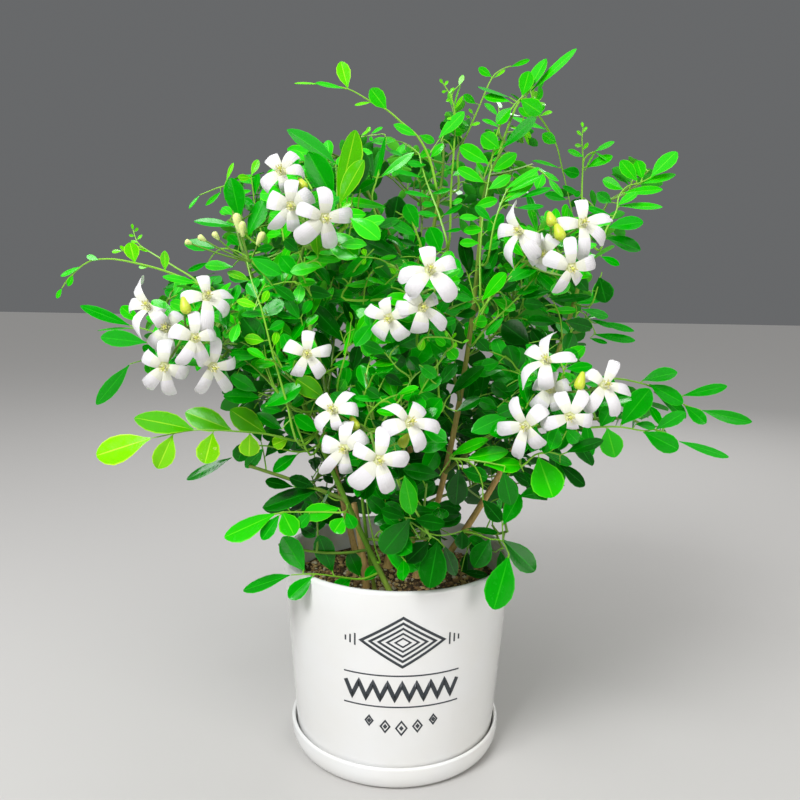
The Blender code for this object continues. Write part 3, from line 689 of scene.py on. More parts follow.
BOUGH_LEAN = math.radians(42)
TWIG_LEAN = math.radians(75)
ELBOW_SHARE = 0.45
LEAD_IN = 1.5
MASS_EDGE = 0.62


def place_on(path, share):
    """Point, direction and radius of a limb at a share of its length."""
    points, radii = path
    lengths = [(after - before).length for before, after in zip(points, points[1:])]
    left = share * sum(lengths)
    low = 0
    while low < len(lengths) - 1 and left > lengths[low]:
        left -= lengths[low]
        low += 1
    t = min(left / lengths[low], 1.0)
    along = (points[low + 1] - points[low]).normalized()
    return points[low].lerp(points[low + 1], t), along, radii[low] + (radii[low + 1] - radii[low]) * t


def leave_side(path, share, towards, lean):
    """Where a side limb starts inside the limb that carries it, and its direction."""
    point, along, limb_radius = place_on(path, share)
    aim = towards - point
    outward = (aim - along * aim.dot(along)).normalized()
    if aim.dot(along) < 0.0:
        lean = math.pi / 2.0
    direction = along * math.cos(lean) + outward * math.sin(lean)
    return point + direction * (limb_radius * 0.4), direction


def side_path(start, direction, elbow, end, count):
    """Points that leave a limb straight and then bend."""
    return [start] + bend(start + direction * LEAD_IN, elbow, end, count)


bough_heap = Heap()
boughs = []
starts = {}
for mass, limb, share, centre, space in MASSES:
    target = Vector(centre)
    if mass in ON_LIMB:
        starts[mass] = leave_side(limbs[limb], share, target, TWIG_LEAN)
        continue
    points, radii = limbs[limb]
    if share < 1.0:
        foot_radius = min(place_on(limbs[limb], share)[2] * BOUGH_SHARE, BOUGH_FOOT)
        start, direction = leave_side(limbs[limb], share, target, BOUGH_LEAN)
        tip = target - (target - start).normalized() * (space * MASS_EDGE)
        elbow = start + direction * ((tip - start).length * ELBOW_SHARE)
        points = side_path(start, direction, elbow, tip, BOUGH_POINTS)
        radii = ramp(foot_radius, BOUGH_TIP, len(points))
        radii[0] *= BOUGH_HEEL
        limbs["bough_" + mass] = (points, radii)
        boughs.append(mass)
        add_tube(bough_heap, points, radii, BOUGH_SIDES, swell=bark_swell(points, len(boughs)))
    along = (points[-1] - points[-2]).normalized()
    starts[mass] = (points[-1] - along * 0.6, along)

# Green young wood: smooth and faintly glossy, an even yellow-green with pores just under a millimetre
# apart, which the light picks out as a fine grain.
young_wood = grained([("green_young_wood", "6E8C2C")], 0.55, 1200.0, 4.0, (0.4, 0.2))
young_boughs = bough_heap.piece("young_boughs", young_wood, 60)
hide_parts(*["bough_" + mass for mass in boughs])

# Blossom: clusters of white five-petalled flowers on green stalks, each with strap-like petals that
# curl back, ten stamens and a stout style. A flower has its place in the view, its depth, and for each
# petal the way to its tip and its width, as the view shows them in pixels.
CLUSTERS = (
    ("left_front", (
        (148, 306, -84, ((-7, -31, 7), (-24, -3, 14), (-11, 29, 9), (12, 16, 15), (14, 1, 8))),
        (207, 296, -88, ((-3, -25, 13), (28, -7, 12), (23, 15, 14), (1, 34, 14), (-23, 0, 15))),
        (166, 328, -82, ((13, -16, 14), (-17, 18, 16), (-2, 30, 17), (-12, -14, 12), (18, 6, 12))),
        (195, 338, -96, ((0, -28, 12), (23, -6, 14), (13, 27, 14), (-15, 26, 13), (-24, -8, 16))),
        (164, 367, -92, ((-23, -10, 15), (-20, 23, 15), (6, 32, 14), (23, 10, 16), (0, -24, 14))),
        (213, 367, -89, ((6, -28, 12), (27, -4, 12), (21, 28, 12), (-13, 28, 13), (-16, -16, 13))),
    )),
    ("upper_left_front", (
        (281, 171, -88, ((-13, -20, 16), (14, -21, 12), (21, -4, 13), (-20, 14, 15), (4, 17, 12))),
        (291, 206, -92, ((-24, -8, 19), (-21, 24, 10), (1, -27, 14), (21, -12, 18), (3, 26, 14))),
        (325, 218, -97, ((1, -30, 16), (31, -2, 16), (10, 33, 17), (-26, 25, 20), (-25, -9, 14))),
    )),
    ("centre_front", (
        (430, 270, -112, ((-2, -28, 17), (28, -13, 16), (25, 27, 20), (-19, 21, 17), (-30, 3, 16))),
        (423, 307, -108, ((24, 22, 13), (-4, 27, 18), (-27, 0, 15), (-16, -15, 15), (15, -10, 12))),
        (389, 318, -104, ((-25, -10, 12), (-7, -19, 14), (17, -9, 13), (-14, 21, 18), (15, 21, 16))),
    )),
    ("upper_right_front", (
        (519, 231, -90, ((-6, -31, 7), (-25, 0, 15), (-9, 36, 9), (15, 24, 15), (19, 6, 10))),
        (543, 254, -85, ((11, -17, 16), (-15, 8, 13), (-7, -18, 11), (-3, 16, 11), (17, 6, 11))),
        (583, 223, -94, ((0, -28, 12), (31, -9, 11), (25, 17, 13), (2, 34, 13), (-24, -2, 15))),
        (572, 268, -99, ((-1, -29, 13), (25, -6, 15), (-15, 28, 11), (-26, -9, 17), (9, 15, 10))),
    )),
    ("right_front", (
        (546, 360, -94, ((8, -33, 8), (-20, -18, 15), (-25, 24, 9), (0, 24, 16), (29, -8, 13))),
        (550, 389, -90, ((20, -6, 14), (-16, 20, 18), (-17, -6, 12), (7, 20, 13), (2, -18, 10))),
        (525, 426, -100, ((-15, -27, 13), (-32, 5, 15), (-11, 34, 13), (13, 24, 16), (17, -16, 16))),
        (570, 417, -106, ((-10, -24, 14), (16, -26, 14), (-29, 10, 14), (24, 4, 15), (4, 13, 11))),
        (605, 385, -98, ((-14, -15, 15), (14, -27, 12), (32, 5, 12), (14, 30, 14), (-15, 25, 14))),
    )),
    ("low_centre_front", (
        (333, 410, -108, ((-15, -17, 16), (15, -22, 12), (22, -3, 14), (-20, 16, 15), (3, 17, 12))),
        (344, 449, -114, ((-26, -6, 18), (-23, 26, 10), (2, -28, 14), (20, -14, 17), (0, 26, 14))),
        (379, 460, -120, ((5, -32, 15), (32, 0, 17), (12, 34, 17), (-27, 28, 20), (-24, -11, 14))),
        (410, 422, -114, ((-20, -18, 12), (15, -20, 18), (34, 6, 14), (15, 27, 17), (-21, 6, 17))),
    )),
    ("inner_left_front", (
        (307, 354, -98, ((3, -25, 13), (25, -6, 12), (15, 22, 13), (-12, 21, 12), (-22, -10, 14))),
    )),
)
BUDS = (
    ("left_front", (183, 297), (187, 314), 11, -92),
    ("upper_left_front", (299, 178), (305, 190), 10, -86),
    ("upper_right_front", (549, 212), (553, 226), 11, -92),
    ("upper_right_front", (556, 224), (562, 240), 12, -95),
    ("right_front", (583, 372), (578, 390), 11, -100),
    ("low_centre_front", (351, 416), (357, 430), 10, -106),
    ("low_centre_front", (409, 434), (400, 447), 11, -108),
)
PALE_BUDS = (
    ((240, 233), (236, 213)),
    ((243, 237), (242, 221)),
    ((257, 245), (264, 232)),
    ((219, 240), (213, 232)),
    ((206, 241), (198, 236)),
    ((192, 244), (185, 241)),
)
PALE_BUD_DEPTH = -52.0
PALE_FORK_PX = (250, 262)
MASS_STEM_RADII = (0.95, 0.6)
MASS_STEM_POINTS = 8
STALK_POINTS = 6
PETAL_LENGTH = 16.5
PETAL_SLIMMEST = 5.8
SLIM_PETAL_PX = 9.5
SLIM_PETAL_BOW = 3.0
PETAL_STEEP = 1.2
PETAL_OPEN = 0.22
PETAL_MOST_CURL = 2.3
PETAL_SHARES = (0.0, 0.1, 0.22, 0.36, 0.5, 0.64, 0.77, 0.87, 0.94, 0.98, 1.0)
PETAL_WIDTHS = (0.5, 0.6, 0.76, 0.9, 0.97, 1.0, 1.0, 0.93, 0.77, 0.54, 0.26)
PETAL_SPREAD = (-1.0, -0.7, -0.35, 0.0, 0.35, 0.7, 1.0)
PETAL_SLOTS = (2, 1, 1, 0, 0, 0, 0, 0, 0, 0)
PETAL_THICK = 0.4
PETAL_CLEAR_HALF = 0.45
PETAL_CLEARANCE = 6.0
THROAT = ((-6.5, 1.1), (-3.0, 1.5), (-0.8, 1.9))
STYLE = ((-1.5, 0.6), (1.6, 0.5), (3.0, 0.7))
STIGMA_RISE = 3.4
STIGMA_RADII = (1.1, 1.1, 0.75)
STAMENS = 10
STAMEN_RADII = (0.26, 0.18)
POLLEN_RADII = (0.42, 0.42, 0.7)
CALYX = (7.6, 5.4, 1.25)
CLUSTER_STALK = (1.2, 0.95)
FLOWER_STALK = (0.7, 0.6)
BUD_STALK = (0.6, 0.5)
PALE_FORK_STALK = (0.8, 0.6)
PALE_BUD_STALK = (0.5, 0.42)
BUD_SHAPE = ((0.0, 0.3), (0.1, 0.5), (0.3, 0.72), (0.55, 0.95), (0.78, 1.0), (0.93, 0.7), (1.0, 0.18))
FLOWER_BACK = -4.0
FLOWER_VIEW_DEPTH = 42.0
FLOWER_CLEARANCE = 12.0
VEIN_WAVE = 0.3183
BLOSSOM_SEED = 23
TWIG_SLOT = 1


def blade_faces(stations, columns):
    """Faces of a thin closed blade: a top grid, and an underside that shares its edges."""
    rows = []
    under = stations * columns
    for i in range(stations - 1):
        for j in range(columns - 1):
            low = i * columns + j
            rows.append((low, low + columns, low + columns + 1, low + 1))
    for i in range(stations - 1):
        left = i * columns
        right = left + columns - 1
        rows.append((left + columns, left, under + i, under + i + 1))
        rows.append((under + i + 1, under + i, right, right + columns))
    rows.append(tuple(range(columns)) + (under,))
    end = range((stations - 1) * columns, stations * columns)
    rows.append(tuple(reversed(end)) + (under + stations - 1,))
    return faces_of(rows)


def flower_facing(spot, hub):
    """Flowers look out at the viewer, and a little away from the middle of their cluster."""
    spread = (spot - hub) / 45.0
    sight = (VIEW_FROM - spot).normalized()
    return (sight + Vector((spread.x, 0.0, spread.z + 0.1))).normalized()


def seen_px(point):
    """Where the view shows a point, in pixels."""
    ray = point - VIEW_FROM
    ahead = ray.dot(view_ahead)
    half = VIEW_SIDE_PX / 2.0
    across = half + VIEW_FOCAL_PX * ray.dot(view_right) / ahead
    return across, half - VIEW_FOCAL_PX * ray.dot(view_up) / ahead


def px_size(point):
    """Millimetres in one pixel of the view at a point."""
    return (point - VIEW_FROM).dot(view_ahead) / VIEW_FOCAL_PX


def mark_shown(corners, behind=0.0):
    """Keeps a patch of the view clear, so that nothing that grows later hides it."""
    outline = np.array([seen_px(corner) for corner in corners])
    distance = min((corner - VIEW_FROM).length for corner in corners) + behind
    low = np.maximum(np.floor(outline.min(axis=0)).astype(int), 0)
    high = np.minimum(np.ceil(outline.max(axis=0)).astype(int) + 1, int(VIEW_SIDE_PX))
    across, down = np.meshgrid(np.arange(low[0], high[0]), np.arange(low[1], high[1]))
    sides = []
    for (x1, y1), (x2, y2) in zip(outline, np.roll(outline, -1, axis=0)):
        sides.append((x2 - x1) * (down - y1) - (y2 - y1) * (across - x1))
    inside = np.all(np.array(sides) >= -1.0, axis=0) | np.all(np.array(sides) <= 1.0, axis=0)
    patch = shown[low[1] : high[1], low[0] : high[0]]
    patch[inside] = np.minimum(patch[inside], distance)


def mark_strip(start, end, edge, behind=0.0):
    """Keeps a strip of the view clear, as wide as its edge to each side."""
    mark_shown([start + edge, end + edge, end - edge, start - edge], behind)


def is_in_front(points):
    """True where a point would hide what has to show."""
    for point in points:
        x, y = seen_px(point)
        if 0.0 <= x < VIEW_SIDE_PX and 0.0 <= y < VIEW_SIDE_PX:
            nearest = shown[int(y), int(x)]
            if nearest < np.inf and (point - VIEW_FROM).length < nearest:
                return True
    return False


petals = Heap()
hearts = Heap()
buds = Heap()
stalks = Heap()
shown = np.full((int(VIEW_SIDE_PX), int(VIEW_SIDE_PX)), np.inf)
petal_faces = blade_faces(len(PETAL_SHARES), len(PETAL_SPREAD))
petal_slots = np.zeros(len(petal_faces[1]), int)
petal_top = (len(PETAL_SHARES) - 1) * (len(PETAL_SPREAD) - 1)
petal_slots[:petal_top] = np.repeat(PETAL_SLOTS, len(PETAL_SPREAD) - 1)
petal_slots[petal_top:-2] = np.repeat(PETAL_SLOTS, 2)
bead_corners = np.array([(0, 0, -1), (1, 0, 0), (0, 1, 0), (-1, 0, 0), (0, -1, 0), (0, 0, 1)], float)
bead_faces = faces_of(
    [(0, 2, 1), (0, 3, 2), (0, 4, 3), (0, 1, 4), (5, 1, 2), (5, 2, 3), (5, 3, 4), (5, 4, 1)]
)


def bead(heap, centre, radii, axis, slot):
    """A small eight-faced grain, longest along its axis."""
    turn = np.array(axis.to_track_quat("Z", "Y").to_matrix())
    heap.add((bead_corners * np.array(radii)) @ turn.T + np.array(centre), bead_faces, slot)


def petal_path(length, lift, curl):
    """Reach, rise and slope along a petal that leaves its tube upright, opens and then curls back."""
    reach = 1.0
    rise = -1.6
    last = 0.0
    places = []
    for share in PETAL_SHARES:
        slope = PETAL_STEEP - (PETAL_STEEP - lift) * min(share / PETAL_OPEN, 1.0)
        slope -= curl * 1.7 * max(share - PETAL_OPEN, 0.0) ** 1.35
        reach += (share - last) * length * math.cos(slope)
        rise += (share - last) * length * math.sin(slope)
        last = share
        places.append((reach, rise, slope))
    return places


def open_petal(length, lift, reach):
    """The path of a petal with the curl that makes it reach as far as it is seen to."""
    low = 0.0
    high = PETAL_MOST_CURL
    for _ in range(12):
        curl = (low + high) / 2.0
        if max(place[0] for place in petal_path(length, lift, curl)) > reach:
            low = curl
        else:
            high = curl
    places = petal_path(length, lift, curl)
    share = min(1.12, max(reach / max(place[0] for place in places), 0.5))
    return [(out * share, rise * share, slope) for out, rise, slope in places]


def petal(spot, facing, tip_px, seen_width, draw):
    """One recurved petal, whose tip and width show as the view has them."""
    sight = (VIEW_FROM - spot).normalized()
    scale = px_size(spot)
    seen = (view_right * tip_px[0] - view_up * tip_px[1]) * scale
    edge = view_ahead.cross(seen).normalized() * (seen_width * scale * -PETAL_CLEAR_HALF)
    mark_strip(spot, spot + seen, edge, PETAL_CLEARANCE)
    way = seen - sight * (seen.dot(facing) / sight.dot(facing))
    outward = way.normalized()
    sideways = facing.cross(outward)
    length = max(PETAL_LENGTH * draw.uniform(0.95, 1.05), way.length * 1.1)
    places = open_petal(length, draw.uniform(0.05, 0.4), way.length)
    broad = max(seen_width * scale, PETAL_SLIMMEST)
    roll = math.acos(min(1.0, seen_width * scale / broad)) * draw.choice((-1.0, 1.0))
    roll += draw.uniform(-0.12, 0.12)
    cup = draw.uniform(0.03, 0.09)
    sweep = draw.uniform(-0.6, 0.6)
    if seen_width < SLIM_PETAL_PX:
        sweep = math.copysign(SLIM_PETAL_BOW, -tip_px[1])
    ruffle = draw.uniform(0.2, 0.55)
    points = []
    middle = []
    lines = []
    for share, width, (reach, rise, slope) in zip(PETAL_SHARES, PETAL_WIDTHS, places):
        normal = facing * math.cos(slope) - outward * math.sin(slope)
        spine = spot + outward * reach + facing * rise + sideways * (sweep * math.sin(math.pi * share))
        half = broad * width / 2.0
        edge = sideways * math.cos(roll * share) + normal * math.sin(roll * share)
        for spread in PETAL_SPREAD:
            wave = ruffle * math.sin(5.0 * share + 2.2 * spread + cup * 90.0) * abs(spread) * share
            points.append(spine + edge * (spread * half) - normal * (cup * (spread * half) ** 2 - wave))
            lines.append((spread * broad / 2.0, share * length))
        middle.append(spine - normal * PETAL_THICK)
    lines += [(0.0, share * length) for share in PETAL_SHARES]
    petals.add(points + middle, petal_faces, petal_slots, np.array(lines))


def open_flower(spot, facing, tips, draw):
    """Five recurved petals on a short tube, with stamens round a style."""
    for dx, dy, seen_width in tips:
        petal(spot, facing, (dx, dy), seen_width, draw)
    across = (view_right - facing * view_right.dot(facing)).normalized()
    other = facing.cross(across)
    add_tube(petals, [spot + facing * rise for rise, _ in THROAT], [radius for _, radius in THROAT], 8, 2)
    for k in range(STAMENS):
        turn = 2.0 * math.pi * (k + draw.uniform(-0.2, 0.2)) / STAMENS
        outward = across * math.cos(turn) + other * math.sin(turn)
        tall = draw.uniform(2.4, 3.2) + (0.9 if k % 2 else 0.0)
        top = spot + outward * (1.1 if k % 2 else 1.9) + facing * tall
        root = spot + outward * 0.8 - facing * 1.5
        add_tube(hearts, [root, top], STAMEN_RADII, 3)
        bead(hearts, top, POLLEN_RADII, (outward + facing).normalized(), 1)
    add_tube(hearts, [spot + facing * rise for rise, _ in STYLE], [radius for _, radius in STYLE], 8, 2)
    bead(hearts, spot + facing * STIGMA_RISE, STIGMA_RADII, facing, 2)


def bud_shape(heap, foot, tip, radius, slot):
    """A closed bud: a capsule that swells past its middle to a blunt tip."""
    points = [foot.lerp(tip, share) for share, _ in BUD_SHAPE]
    add_tube(heap, points, [radius * width for _, width in BUD_SHAPE], 9, slot)


def stalk(start, end, sag, radii):
    """A slim curved stalk from a twig to what it carries."""
    elbow = (start + end) / 2.0 - UP * sag
    add_tube(stalks, bend(start, elbow, end, STALK_POINTS), ramp(*radii, STALK_POINTS), 6, TWIG_SLOT)


mass_stems = {}
last_used = {mass: 0 for mass, *_ in MASSES}
for mass, _, _, centre, space in MASSES:
    root, heading = starts[mass]
    middle = Vector(centre)
    stem_end = middle + (middle - root).normalized() * (space * 0.12)
    elbow = root + heading * ((stem_end - root).length * ELBOW_SHARE)
    points = side_path(root, heading, elbow, stem_end, MASS_STEM_POINTS)
    mass_stems[mass] = (points, ramp(*MASS_STEM_RADII, len(points)))

flower_spots = []
draw = random.Random(BLOSSOM_SEED)
for mass, flowers in CLUSTERS:
    centres = [seen_at(*row[:3]) for row in flowers]
    hub = sum(centres, Vector()) / len(centres)
    stem_end = mass_stems[mass][0][-1]
    last_used[mass] = len(mass_stems[mass][0]) - 1
    fork = stem_end.lerp(hub, 0.62)
    stalk(stem_end, fork, 2.0, CLUSTER_STALK)
    for spot, row in zip(centres, flowers):
        facing = flower_facing(spot, hub)
        flower_spots.append((spot, facing))
        open_flower(spot, facing, row[3], draw)
        stalk(fork, spot - facing * 6.0, 1.5, FLOWER_STALK)
        bud_shape(stalks, spot - facing * CALYX[0], spot - facing * CALYX[1], CALYX[2], TWIG_SLOT)
    for carrier, foot_px, tip_px, width_px, depth in BUDS:
        if carrier == mass:
            foot = seen_at(*foot_px, depth + 2.0)
            tip = seen_at(*tip_px, depth)
            bud_shape(buds, foot, tip, width_px * px_size(foot) / 2.0, 0)
            stalk(fork, foot, 1.0, BUD_STALK)

bud_fork = seen_at(*PALE_FORK_PX, PALE_BUD_DEPTH + 4.0)
stalk(mass_stems["upper_left"][0][3], bud_fork, 3.0, PALE_FORK_STALK)
last_used["upper_left"] = 3
for root_px, tip_px in PALE_BUDS:
    foot = seen_at(*root_px, PALE_BUD_DEPTH)
    tip = seen_at(*tip_px, PALE_BUD_DEPTH - 1.0)
    bud_shape(buds, foot, tip, 1.0 + (tip - foot).length * 0.14, 1)
    stalk(bud_fork, foot + (tip - foot) * 0.05, 1.5, PALE_BUD_STALK)
    mark_strip(foot, tip, view_right * 2.5)


def veined(tree, shader, per_metre, shares, distortion, relief, gloss=None):
    """Relief of a blade: its grain, and veins a unit of its lines apart, by their shares of height."""
    grain = uneven(tree, shader, per_metre, 2.0, gloss=gloss)
    along_veins = add_node(tree, "ShaderNodeUVMap", {"uv_map": "lines"}).outputs["UV"]
    bands = {"Scale": VEIN_WAVE, "Distortion": distortion, "Detail": 1.0}
    shape = {"wave_type": "BANDS", "bands_direction": "X"}
    veins = add_node(tree, "ShaderNodeTexWave", shape, bands, {"Vector": along_veins}).outputs["Fac"]
    multiply = {"operation": "MULTIPLY"}
    low = add_node(tree, "ShaderNodeMath", multiply, {1: shares[1]}, {0: veins}).outputs[0]
    multiply_add = {"operation": "MULTIPLY_ADD"}
    height = add_node(tree, "ShaderNodeMath", multiply_add, {1: shares[0]}, {0: grain, 2: low}).outputs[0]
    values = {"Strength": relief[0], "Distance": relief[1] * MM}
    bumps = add_node(tree, "ShaderNodeBump", values=values, links={"Height": height})
    tree.links.new(bumps.outputs["Normal"], shader.inputs["Normal"])


# Petals: soft white with a matt, waxy bloom and faint veins along them every millimetre, greenish cream
# in the throat. Their substance lets a little light through, so shaded petals stay pale.
petal_materials = []
for name, colour in (("petal_white", "E1DEE0"), ("petal_cream", "DFDFD0"), ("petal_throat", "D2D6A2")):
    material, tree, shader = new_material(
        name,
        colour,
        0.5,
        Sheen_Weight=0.1,
        Specular_IOR_Level=0.3,
        Subsurface_Weight=0.12,
        Subsurface_Radius=(1.0, 0.9, 0.8),
        Subsurface_Scale=1.0 * MM,
    )
    veined(tree, shader, 1500.0, (0.5, 1.0), 1.2, (0.25, 0.2))
    petal_materials.append(material)

# Stamens and style: white threads, soft yellow grains of pollen sacs and a yellow-green style, all
# matt, with a dusty grain of a third of a millimetre.
heart_tints = (("stamen_thread", "EDEDD6"), ("pollen_yellow", "DAD292"), ("style_green", "C9CE62"))
heart_materials = grained(heart_tints, 0.6, 3000.0, 2.0, (0.5, 0.2))

